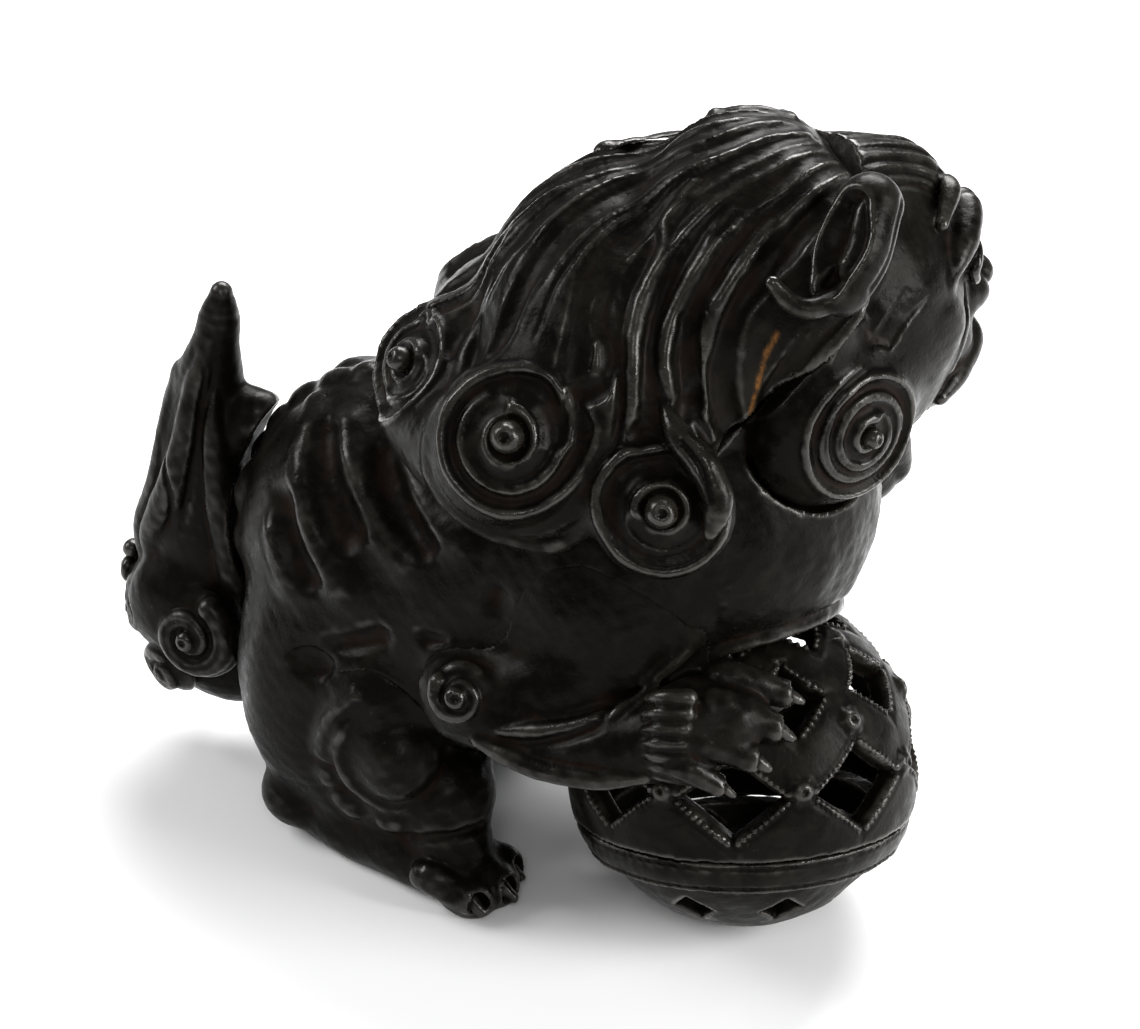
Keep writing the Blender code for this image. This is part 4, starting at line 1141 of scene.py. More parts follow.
# ----------------------------------------------------------------------------- head
def build_head():
    c = Clay((5, -32, 70), (90, 50, 160), 0.43)
    fuse(c, HEAD, 3.0)
    crown = Clay.part_of(c, (0, -40, 60), (100, 60, 170))
    fuse(crown, MANE, 3.5)
    x, y, z = c.ax[0][:, None, None], c.ax[1][None, :, None], c.ax[2][None, None, :]
    sideways = np.abs(plane_fn(HEAD_C, HL)(x, y, z))
    fwd = plane_fn(HEAD_C, HF)(x, y, z)
    top = 0.8 * np.clip(sideways - 18, 0, 12) + 0.7 * np.clip(136 - z, 0, 20)
    cheek = 0.6 * np.clip(fwd + 24, 0, 20) + 0.6 * np.clip(z - 129, 0, 20) + 0.6 * np.clip(104 - z, 0, 20)
    crown.d = crown.d + np.minimum(top, cheek) + 0.35
    c.d = smin(c.d, crown.d.astype(np.float32), 3.0)
    for s in (-1, 1):
        # heavy brow with a curled tuft at its outer end
        c.tubes([curve([hw(20, 2.0 * s, 20), hw(20.5, 8 * s, 21.5), hw(15, 15 * s, 19), hw(8, 19.5 * s, 14)], [2.2, 3.2, 3.0, 1.6])], "add", 1.4)
        c.tubes([curve([hw(17, 3 * s, 26), hw(15, 10 * s, 27), hw(9, 16 * s, 24)], [1.6, 2.2, 1.2])], "add", 1.0)
        # eye: a round ball with heavy lids
        eye = np.array(hw(18.0, 9.3 * s, 11.5))
        c.cut(ball(tuple(eye + hv(3, 0.8 * s, 0.2)), 5.2), 1.2)
        c.add(ball(tuple(eye), 4.5), 0.4)
        out = unit(hv(1, 0.42 * s, 0.0))
        a = unit(np.cross(UZ, out))
        b = np.cross(out, a)
        for sgn, rr in ((1, 1.15), (-1, 0.95)):
            pts = [eye + out * (2.4 + 1.3 * math.sin(math.radians(g))) + a * 5.0 * math.cos(math.radians(g))
                   + b * sgn * 3.6 * math.sin(math.radians(g)) for g in range(0, 181, 15)]
            p = np.array(pts)
            c.tubes([(p, np.full(len(p), rr))], "add", 0.5)
        c.cut(ball(tuple(eye + out * 4.7), 1.1), 0.3)
        # nostril wings and the fold beside the nose
        c.add(ball(hw(25.5, 5.2 * s, 1.0), (4.2, 3.8, 3.6), (0, 0, 52)), 1.0)
        c.cut(ball(hw(30.0, 4.6 * s, 0.2), (2.2, 1.5, 1.3), (0, 0, 52)), 0.5)
        c.tubes([curve([hw(20, 8.5 * s, 5), hw(17, 13.5 * s, 0), hw(12, 17 * s, -6)], [1.6, 1.9, 1.2])], "add", 1.2)
        # lips, rippled
        c.tubes([curve([hw(26, 1.5 * s, -6.5), hw(24, 7.5 * s, -7.5), hw(18.5, 12 * s, -10), hw(11.5, 15.5 * s, -13)], [2.6, 3.2, 3.0, 1.8])], "add", 1.0)
        c.tubes([curve([hw(19.6, 2 * s, -17.6), hw(17.2, 7.2 * s, -17.6), hw(11, 11.8 * s, -16.4)], [2.0, 2.2, 1.4])], "add", 0.9)
        # cheekbone
        c.add(ball(hw(5, 19 * s, 5), (7, 4.5, 6), (0, 0, 52)), 3.0)
        # hair lines swept from under the ear into the cheek curl
        lines = []
        for k in range(6):
            w = k / 5
            pts = [hw(1 - 5 * w, (24.5 + 0.2 * k) * s, 16 + 2.5 * w), hw(-6 - 6 * w, 27 * s, 12.5 - 1.5 * w),
                   hw(-11 - 7.5 * w, 28 * s, 6 - 4 * w), hw(-13.5 - 9.5 * w, 28.5 * s, -3 - 4 * w)]
            p, n = c.drape(pts, 1.2)
            r = 0.55 * np.sin(np.linspace(0.12, 1, len(p)) * math.pi * 0.93) + 0.12
            lines.append((p + n * 0.1, r))
        c.tubes(lines, "cut", 0.4)
        # cheek curl
        cc = np.array(hw(-16.5, 26.6 * s, -6.0))
        nn = unit(hv(0.05, 1.0 * s, 0.06))
        right = hv(1, 0, 0) if s < 0 else hv(-1, 0, 0)
        scroll(c, cc, nn, right, 13.8, 2.8, 1 if s < 0 else -1, 95 if s < 0 else 85, 2.6, inner=2.4, button=1.9, deep=1.0)
    # nose bridge wrinkles
    for k in range(3):
        z0 = 7.5 + 3.2 * k
        c.tubes([curve([hw(25 - 1.2 * k, -4.5, z0 - 0.8), hw(27.0 - 1.4 * k, 0, z0 + 0.6), hw(25 - 1.2 * k, 4.5, z0 - 0.8)], [0.9, 1.25, 0.9])], "add", 0.6)
    c.add(ball(hw(30.5, 0, 2.2), (3.6, 4.6, 3.4), (0, 0, 52)), 1.2)
    # forelock: combed grooves over the forehead
    lines = []
    for k in range(9):
        l = (k - 4) * 3.6
        pts = [hw(19 - 0.25 * abs(l), l * 0.62, 25.5 - 0.1 * abs(l)), hw(13 - 0.3 * abs(l), l * 0.8, 31.5), hw(5 - 0.4 * abs(l), l, 35.5), hw(-3, l * 1.15, 37)]
        p, n = c.drape(pts, 1.3)
        lines.append((p + n * 0.2, 0.62 * np.sin(np.linspace(0.15, 1, len(p)) * math.pi * 0.9) + 0.15))
    c.tubes(lines, "cut", 0.5)
    # beard locks
    for s in (-1, 0, 1):
        pts = [hw(8, 5.5 * s, -27), hw(10.5, 4.5 * s, -33), hw(11 - abs(s), 3.0 * s, -38 + 1.5 * abs(s))]
        c.tubes([curve(pts, [4.4, 3.6, 1.7])], "add", 0.7)
    for l in (-6.5, -2.6, 2.6, 6.5):
        p, n = c.drape([hw(15, l, -25), hw(15, l * 0.8, -31), hw(13.5, l * 0.6, -37)], 1.2)
        c.tubes([(p + n * 0.15, np.full(len(p), 0.55))], "cut", 0.4)
    # the open mouth, tongue and teeth
    c.cut(ball(hw(17, 0, -13.8), (17, 10.0, 2.4), (0, 0, 52)), 0.6)
    # inside
    c.cut(limb([hw(-30, 0, 2), hw(-6, 0, 4), hw(4, 0, 2)], [20, 22, 17]), 0.8)
    c.cut(limb([hw(-6, 0, -12), hw(6, 0, -14)], [12, 9]), 0.8)
    c.tubes([curve([hw(6, 0, -20.5), hw(14, 0, -18.6), hw(20.5, 0, -17.4)], [4.0, 4.0, 2.8])], "add", 0.6, 1.0)
    for s in (-1, 1):
        c.tubes([(np.array([hw(21.5, 5.6 * s, -10.5), hw(21.8, 5.6 * s, -16.5)]), np.array([1.7, 0.5]))], "add", 0.3)
        c.tubes([(np.array([hw(17.0, 7.4 * s, -18.8), hw(17.3, 7.4 * s, -13.8)]), np.array([1.5, 0.5]))], "add", 0.3)
        for k in range(3):
            l = (1.1 + 1.7 * k * 0.9) * s
            c.tubes([(np.array([hw(24.5 - 0.25 * k, l, -10.5), hw(24.3 - 0.25 * k, l, -13.0)]), np.array([1.0, 0.6]))], "add", 0.25)
            c.tubes([(np.array([hw(19.8 - 0.25 * k, l, -19), hw(20.0 - 0.25 * k, l, -16.4)]), np.array([0.9, 0.5]))], "add", 0.25)
    x, y, z = c.ax[0][:, None, None], c.ax[1][None, :, None], c.ax[2][None, None, :]
    c.d = np.maximum(c.d, -plane_fn(hw(0, 0, 40), PART_N, 0.12)(x, y, z))
    line = curve([(55.4, -21.4, 130.3), (53.6, -22.8, 125.4), (52.6, -23.5, 119.6), (51.6, -23.7, 114.5)], step=0.6)

    def marks(v):
        out = np.zeros(len(v))
        idx = np.flatnonzero(np.linalg.norm(v - line[len(line) // 2], axis=1) < 18)
        if len(idx):
            d = np.min(np.linalg.norm(v[idx][:, None] - line[None], axis=2), 1)
            out[idx] = np.clip(1.2 - d / 0.8, 0, 1)
        return out

    return cast("lion_head_cover", c, "cover", "head_cover", MAT["head"], 0.08, 7, marks)


# ----------------------------------------------------------------------------- ears
def build_ears():
    shifts = [LIFT * (2.5 * k) for k in range(11)]
    for s, name in ((-1, "right"), (1, "left")):
        c = Clay((10, -38, 122), (84, 46, 164), 0.40)
        if s < 0:                       # drooping right ear: a folded leaf whose tip curls outward
            root, mid, low = hw(-14.2, -23.8, 37.2), hw(-19.3, -26.6, 31.5), hw(-23.0, -28.2, 26.0)
            tips = [hw(-23.5, -27.6, 25.5), hw(-28.4, -27.6, 24.2), hw(-32.2, -26.0, 25.4), hw(-35.0, -24.4, 28.0)]
            out, over = unit(hv(-0.449, -0.719, 0.53)), unit(hv(0.848, -0.530, 0))
            hollow = [hw(-18.6, -22.4, 37.6), hw(-22.6, -24.6, 33.4), hw(-26.6, -26.4, 28.6)]
            ridge = [hw(-14.2, -25.4, 38.2), hw(-16.8, -27.2, 35.0), hw(-20.4, -29.2, 30.4), hw(-23.2, -30.0, 27.0)]
        else:                           # the left one lies back behind the crown
            root, mid, low = hw(-12.5, 25.5, 25.6), hw(-19.0, 29.0, 25.6), hw(-25, 31, 26.0)
            tips = [hw(-25, 30.8, 26.4), hw(-30.0, 31.6, 27.6), hw(-34.6, 31.8, 29.4), hw(-38.0, 31.4, 31.4)]
            out, over = unit(hv(-0.15, 0.72, 0.68)), unit(hv(0.9, 0.1, 0.1))
            hollow = [hw(-17, 32.0, 30.0), hw(-23, 34.0, 30.0), hw(-29, 34.5, 30.0)]
            ridge = [hw(-12.5, 28.0, 29.0), hw(-18.0, 31.6, 29.4), hw(-24.5, 33.2, 29.4), hw(-30, 33.4, 29.4)]
        size = 1.0 if s < 0 else 0.88
        c.tubes([curve([root, mid, low], [6.0 * size, 6.8 * size, 5.6 * size])], "add", 1.0)
        if s < 0:
            c.tubes([curve([hw(-18.0, -21.8, 38.0), hw(-23.0, -24.4, 33.0), hw(-26.5, -26.0, 28.0)], [4.4, 5.2, 4.4])], "add", 2.0)
        c.tubes([curve(tips, [5.0 * size, 4.3 * size, 3.7 * size, 2.6 * size])], "add", 2.6)
        if s < 0:
            p, r = curve([np.array(h) + out * 4.6 for h in hollow], [3.8, 5.9, 4.7])
            c.tubes([(p, r)], "cut", 0.9)
            p, r = curve([np.array(t) + out * 2.6 + UZ * 1.4 for t in tips], [2.4, 2.4, 1.9, 0.9])
            c.tubes([(p, r)], "cut", 0.8)
        if s < 0:
            # convex back, with the flat strip beside it
            p, n = c.drape(ridge, 1.0)
            r = np.interp(np.linspace(0, 1, len(p)), [0, 0.3, 0.8, 1], [1.0, 2.0, 2.1, 1.4])
            c.tubes([(p - n * (r * 0.1)[:, None], r)], "add", 0.9)
            side = [np.array(h) + over * (3.6 if s < 0 else 3.0) for h in ridge]
            p, n = c.drape(side, 1.0)
            c.tubes([(p + n * 0.35, np.full(len(p), 0.95))], "cut", 0.6)
            side = [np.array(h) - over * 3.0 for h in ridge]
            p, n = c.drape(side, 1.0)
            c.tubes([(p + n * 0.25, np.full(len(p), 0.8))], "cut", 0.6)
            # rolled edge of the tip
            edge = [np.array(tips[3]) + out * 0.6, np.array(tips[2]) + out * 1.8 - UZ * 1.4, np.array(tips[1]) + out * 2.6 - UZ * 1.8,
                    np.array(low) + out * 3.0 - UZ * 2.4, np.array(low) + out * 3.2 + over * 3.2 + UZ * 1.0]
            c.tubes([curve(edge, [1.3, 1.8, 1.9, 1.8, 1.1])], "add", 1.2)
        cut_room(c, HEAD, 3.0, 0.9, shifts)
        cut_room(c, MANE, 3.5, 0.25)

        def marks(v, q=np.array(hw(-12.0, -25.5, 38.5)), w=np.array(hw(-20.5, -29.2, 27.5))):
            t = np.clip((v - q) @ (w - q) / ((w - q) @ (w - q)), 0, 1)
            d = np.linalg.norm(v - (q + t[:, None] * (w - q)), axis=1)
            return np.clip(1.0 - d / 2.2, 0, 0.32) * (1 if s < 0 else 0)

        cast("lion_ear_" + name, c, "statue", "ear_" + name, MAT["head"], 0.06, 9 + s, marks)


# ----------------------------------------------------------------------------- tail
def build_tail():
    c = Clay((-98, -24, 0), (-48, 24, 112), 0.5)
    fuse(c, TAIL, 3.0)
    for s in (-1, 1):
        locks = [
            ([(-79, 5 * s, 40), (-80, 7 * s, 50), (-75, 8.5 * s, 62), (-71, 8 * s, 74), (-69, 6 * s, 86), (-66, 3.5 * s, 97)],
             [2.0, 3.4, 3.8, 3.4, 2.6, 1.2]),
            ([(-62, 6 * s, 34), (-62, 8 * s, 46), (-63.5, 8 * s, 60), (-65, 7.0 * s, 74), (-66, 5 * s, 86)],
             [2.0, 3.4, 3.6, 3.0, 1.4]),
            ([(-84, 2 * s, 38), (-83.5, 3.5 * s, 50), (-79, 4.5 * s, 62), (-77, 3.5 * s, 74), (-75, 1.5 * s, 84)],
             [2.2, 3.2, 3.2, 2.4, 1.4]),
        ]
        c.tubes([curve(p, r) for p, r in locks], "add", 0.9)
        grooves = []
        for pts, r in (
                ([(-72, 11 * s, 56), (-69.5, 10 * s, 68), (-68.5, 8 * s, 80), (-67, 5.5 * s, 92)], 0.9),
                ([(-77, 9 * s, 54), (-73.5, 9 * s, 66), (-71, 7 * s, 78)], 0.7),
                ([(-66, 10 * s, 52), (-66, 9 * s, 64), (-66.5, 7 * s, 78), (-66, 4 * s, 90)], 0.7),
                ([(-81, 6 * s, 52), (-78.5, 6 * s, 62), (-76.5, 4.5 * s, 74)], 0.6)):
            p, n = c.drape(pts, 1.4)
            w = np.sin(np.linspace(0.1, 1, len(p)) * math.pi * 0.95)
            grooves.append((p + n * 0.1, r * np.maximum(w, 0.2)))
        c.tubes(grooves, "cut", 0.5)
        # base curls
        right = (1, 0, 0) if s < 0 else (-1, 0, 0)
        curl(c, (-68.6, 14.6 * s, 33), unit((-0.10, 1.0 * s, 0.10)), right, 11.0, 1.7, -1 if s < 0 else 1, 60 if s < 0 else 120, 3.0, 2.8, 1.4,
             button=2.3, lines=1)
        curl(c, (-83.5, 8.5 * s, 33), unit((-0.72, 0.66 * s, 0.10)), right, 7.6, 1.4, 1 if s < 0 else -1, 90, 2.2, 2.3, 1.2, button=1.7, lines=1)
        curl(c, (-77.5, 11.0 * s, 20), unit((-0.42, 0.80 * s, -0.22)), right, 7.0, 1.4, 1 if s < 0 else -1, 90, 1.8, 2.2, 1.2, button=1.6, lines=1)
    curl(c, (-90.0, 0, 36.5), unit((-1, 0, 0.0)), (0, -1, 0), 6.0, 1.2, 1, 90, 1.0, 2.0, 1.2, button=1.6, lines=1, fill=False)
    x, y, z = c.ax[0][:, None, None], c.ax[1][None, :, None], c.ax[2][None, None, :]
    cut_room(c, TORSO, 4.0, 2.2)
    tenon = np.maximum(np.maximum(np.abs(x + 60) - 14.5, np.abs(y) - 3.9), np.abs(z - 42) - 3.9)
    c.d = np.maximum(c.d, -tenon)
    return cast("lion_tail", c, "statue", "tail_plume", MAT["tail"], 0.10, 11, None)


# ----------------------------------------------------------------------------- legs
def claw(c, root, tip, r, base=None):
    root, tip = np.array(root, float), np.array(tip, float)
    c.tubes([(np.array([root, (root + tip) / 2 + np.array((0, 0, 0.5)), tip]), np.array([r, r * 0.85, r * 0.45]))], "add", 0.3)


def toe(c, knuckle, end, r):
    """A rounded toe with a raised knuckle and a claw that shows at its end."""
    k, e = np.array(knuckle, float), np.array(end, float)
    d = unit(e - k)
    c.tubes([curve([k - d * r * 0.8, k + UZ * r * 0.25, e - d * r * 0.3], [r * 0.9, r * 1.05, r * 0.85])], "add", 1.0)
    side = unit(np.cross(d, UZ))
    # cuticle fold and claw
    c.cut(ball(tuple(e + d * r * 0.35 + UZ * r * 0.1), (r * 0.75, r * 0.62, r * 0.7), axes=(d, side, np.cross(side, d))), 0.35)
    c.tubes([(np.array([e - d * r * 0.4 + UZ * r * 0.15, e + d * r * 0.75 - UZ * r * 0.35]), np.array([r * 0.52, r * 0.30]))], "add", 0.2)


def model_hind(big, side):
    sgn = 1 if side == "right" else -1

    def M(p):
        q = np.array(p, float)
        q[..., 1] *= sgn
        return q

    y0, y1 = (-54, -4) if sgn > 0 else (4, 54)
    c = Clay.part_of(big, (-60, y0, 0), (22, y1, 68))
    fuse(c, HIND if sgn > 0 else mirror_y(HIND), 3.0)
    # thigh: a full rounded bulge edged by a folded double rim
    rim = [(-20, -41.0, 47), (-25.5, -42.0, 41.5), (-29.5, -41.4, 33), (-29.8, -40.6, 24.5), (-26.5, -40.8, 17.5), (-19, -42.2, 15.2), (-11, -43.0, 18.0), (-6.2, -42.0, 24.5)]
    p, n = c.drape(M(rim), 1.2)
    r = np.interp(np.linspace(0, 1, len(p)), np.linspace(0, 1, 8), [1.0, 2.2, 2.8, 2.8, 2.7, 2.6, 2.2, 0.8])
    c.tubes([(p - n * (r * 0.35)[:, None], r)], "add", 2.0)
    inner = [(-19.0, -43.0, 44), (-23.2, -43.6, 38), (-25, -43.6, 31), (-22.8, -43.8, 24.5), (-17, -44.6, 21.2), (-10.8, -44.4, 23), (-7.6, -42.6, 28)]
    p, n = c.drape(M(inner), 1.2)
    r = np.interp(np.linspace(0, 1, len(p)), np.linspace(0, 1, 7), [0.6, 1.4, 1.7, 1.6, 1.5, 1.3, 0.5])
    c.tubes([(p - n * (r * 0.3)[:, None], r)], "add", 1.2)
    c.cut(ball(tuple(M((-19.5, -46.5, 43.0))), (5.0, 4.6, 6.2), (0, 25, 0)), 2.2)
    c.add(ball(tuple(M((-13.2, -38.5, 31.5))), (8.2, 7.0, 9.2), (0, 20, 0)), 1.6)
    p, n = c.drape(M([(-20, -40.5, 49), (-14.5, -41.5, 46.5), (-9.5, -41, 41), (-6.0, -39.5, 33.5), (-4.2, -38.5, 27)]), 1.2)
    r = np.interp(np.linspace(0, 1, len(p)), np.linspace(0, 1, 5), [0.8, 1.9, 2.2, 1.9, 1.0])
    c.tubes([(p - n * (r * 0.45)[:, None], r)], "add", 2.0)
    # heel knob and hock
    c.add(ball(tuple(M((-40.5, -28.0, 9.5))), (7.6, 6.6, 7.8)), 2.0)
    c.tubes([curve(M([(-42, -33, 40), (-43.5, -33.5, 28), (-42, -32, 17)]), [2.0, 2.6, 2.0])], "add", 2.4)
    # tendon lines on the foot and the ankle crease
    p, n = c.drape(M([(-9, -40, 15), (-2.5, -39.8, 17.5), (1.8, -36, 17.8)]), 1.2)
    c.tubes([(p + n * 0.4, np.full(len(p), 1.2))], "cut", 0.9)
    for k, (a, b, r) in enumerate((((-3.5, -43.2, 7.2), (3.6, -43.6, 4.6), 3.6), ((-2.0, -38.2, 8.8), (7.6, -37.6, 4.9), 3.9), ((-2.5, -32.6, 8.2), (7.0, -31.2, 4.8), 3.6))):
        toe(c, M(a), M(b), r)
    return c


def model_fore_right(big):
    c = Clay.part_of(big, (-14, -56, 32), (76, -4, 98))
    fuse(c, FORE_R, 3.0)
    # shoulder edge: a crisp folded arc
    arc = [(12, -49.5, 52), (22, -49.4, 54.6), (31, -47.2, 57.6), (37, -43.2, 60.9), (41, -39.3, 65.4), (45, -35.4, 70.3), (47, -33.4, 76), (46.5, -33.2, 84)]
    p, n = c.drape(arc, 1.2)
    r = np.interp(np.linspace(0, 1, len(p)), [0, 0.15, 0.8, 1], [0.7, 1.7, 1.7, 0.6])
    c.tubes([(p - n * 0.3, r)], "add", 0.9)
    q = p + np.array((0.6, 0.4, -2.6))
    q = c.project(q, 3)
    c.tubes([(q + c.normal(q) * 0.5, np.full(len(q), 1.15))], "cut", 0.8)
    # lower strip of the foreleg
    low = [(8, -49, 48.5), (20, -51.4, 47.2), (32, -52.4, 48.2), (42, -51.5, 50.5)]
    p, r = curve(low, [1.5, 2.3, 2.3, 1.4])
    c.tubes([(p, r)], "add", 0.9)
    # hair tuft over the wrist: short combed locks running back from the paw
    locks = []
    for k in range(7):
        w = k / 6
        a = np.array((40.5 + 1.5 * w, -46.2 - 5.2 * math.sin(w * 2.2), 64.2 - 13.5 * w))
        b = np.array((48.5 + 1.0 * w, -46.8 - 4.4 * math.sin(w * 2.2), 66.6 - 14.5 * w))
        locks.append(curve([a, (a + b) / 2 + np.array((0, -0.9, 0.7)), b], [0.7, 1.6, 1.9]))
    c.tubes(locks, "add", 0.35)
    # toes gripping the ball
    for a, b, r in (((52.5, -47.6, 57.8), (61.4, -45.4, 55.0), 3.3), ((54.2, -43.0, 62.2), (63.8, -39.6, 58.6), 3.5), ((54.0, -36.2, 64.2), (63.6, -32.6, 61.6), 3.3), ((50.5, -51.2, 53.5), (56.5, -49.6, 50.5), 2.6)):
        toe(c, a, b, r)
    # elbow curl
    curl(c, (3.8, -47.4, 56.8), unit((0.05, -0.92, 0.38)), IMAGE_RIGHT, 6.6, 1.35, 1, 150, 1.6, 1.9, 1.0, button=2.3, lines=0)
    return c


def model_fore_left(big):
    c = Clay.part_of(big, (-4, 4, 0), (58, 56, 98))
    fuse(c, FORE_L, 3.0)
    p, n = c.drape([(14, 42, 52), (22, 43, 50), (31, 42, 53), (37, 39, 60), (41, 35, 68)], 1.4)
    c.tubes([(p - n * 0.3, np.full(len(p), 1.6))], "add", 0.9)
    # fetlock curls at the back of the leg and tendon grooves
    curl(c, (17.5, 35.5, 38), unit((-0.55, 0.8, 0.1)), (-1, 0, 0), 6.2, 1.4, -1, 90, 1.6, 1.9, 1.0, button=1.8, lines=0)
    for l in (-3.2, 3.2):
        p, n = c.drape([(33, 35 + l, 26), (35.5, 35 + l, 18), (40, 35 + l, 10)], 1.4)
        c.tubes([(p + n * 0.3, np.full(len(p), 0.9))], "cut", 0.7)
    for a, b, r in (((36, 30.0, 7.8), (43.6, 29.6, 4.8), 3.5), ((37.5, 35.3, 8.8), (45.6, 35.4, 4.9), 3.8), ((36, 40.8, 7.8), (43.4, 41.4, 4.8), 3.5)):
        toe(c, a, b, r)
    return c


def build_body():
    """Torso and legs are modelled as one skin, then parted along the joints between castings."""
    c = Clay((-66, -56, 0), (78, 56, 125), 0.55)
    model_torso(c)
    torso = c.d.copy()
    legs = [("lion_hind_leg_right", "hindleg_right", model_hind(c, "right"), 13),
            ("lion_hind_leg_left", "hindleg_left", model_hind(c, "left"), 14),
            ("lion_foreleg_right", "foreleg_right", model_fore_right(c), 15),
            ("lion_foreleg_left", "foreleg_left", model_fore_left(c), 16)]
    skin = torso.copy()
    nearest = np.full(torso.shape, np.float32(FAR), np.float32)
    taken = np.full(torso.shape, np.float32(FAR), np.float32)
    for _, _, leg, _ in legs:
        skin[leg.place] = smin(skin[leg.place], leg.d, 5.0)
    for _, _, leg, _ in legs:
        t = torso[leg.place]
        taken[leg.place] = np.minimum(taken[leg.place], np.maximum((leg.d - t) * 0.5, -(t + 5.0)))
    x, y, z = c.ax[0][:, None, None], c.ax[1][None, :, None], c.ax[2][None, None, :]
    off_ball = -sphere_fn(BALL_C, BALL_R + 1.3)(x, y, z)
    for i, (name, node, leg, seed) in enumerate(legs):
        t = torso[leg.place]
        other = np.full(torso.shape, np.float32(FAR), np.float32)
        for j, (_, _, leg2, _) in enumerate(legs):
            if j != i:
                other[leg2.place] = np.minimum(other[leg2.place], leg2.d)
        d = np.maximum(skin[leg.place], (leg.d - t) * 0.5 - 0.30)
        d = np.maximum(d, -(t + 5.0) + 0.05)
        d = np.maximum(d, (leg.d - other[leg.place]) * 0.5 + 0.004)
        d = np.maximum(d, off_ball[leg.place])
        d = np.maximum(d, 0.02 - leg.ax[2][None, None, :])
        seam = Clay.part_of(c, (leg.lo - 0.01).tolist(), [a[-1] + 0.01 for a in leg.ax])
        seam.lo, seam.d = leg.lo, np.maximum((leg.d - t) * 0.5, -(t + 5.0))
        leg.d = d.astype(np.float32)
        cast(name, leg, "statue", node, MAT["body"], 0.12, 3, relax=6, seam=seam)
    c.d = np.maximum(skin, -taken + 0.004).astype(np.float32)
    seam = Clay.part_of(c, (-70, -60, 0), (90, 60, 130))
    seam.lo, seam.d = c.lo, taken
    hollow_torso(c, seam)


# ----------------------------------------------------------------------------- ball
FIRST = unit(np.array((0.82, -0.44, 0.36)) - BAND_N * float(np.dot((0.82, -0.44, 0.36), BAND_N)))
EAST = np.cross(BAND_N, FIRST)


def on_ball(lon, lat, r):
    lo, la = math.radians(lon), math.radians(lat)
    return BALL_C + r * (FIRST * math.cos(lo) * math.cos(la) + EAST * math.sin(lo) * math.cos(la) + BAND_N * math.sin(la))


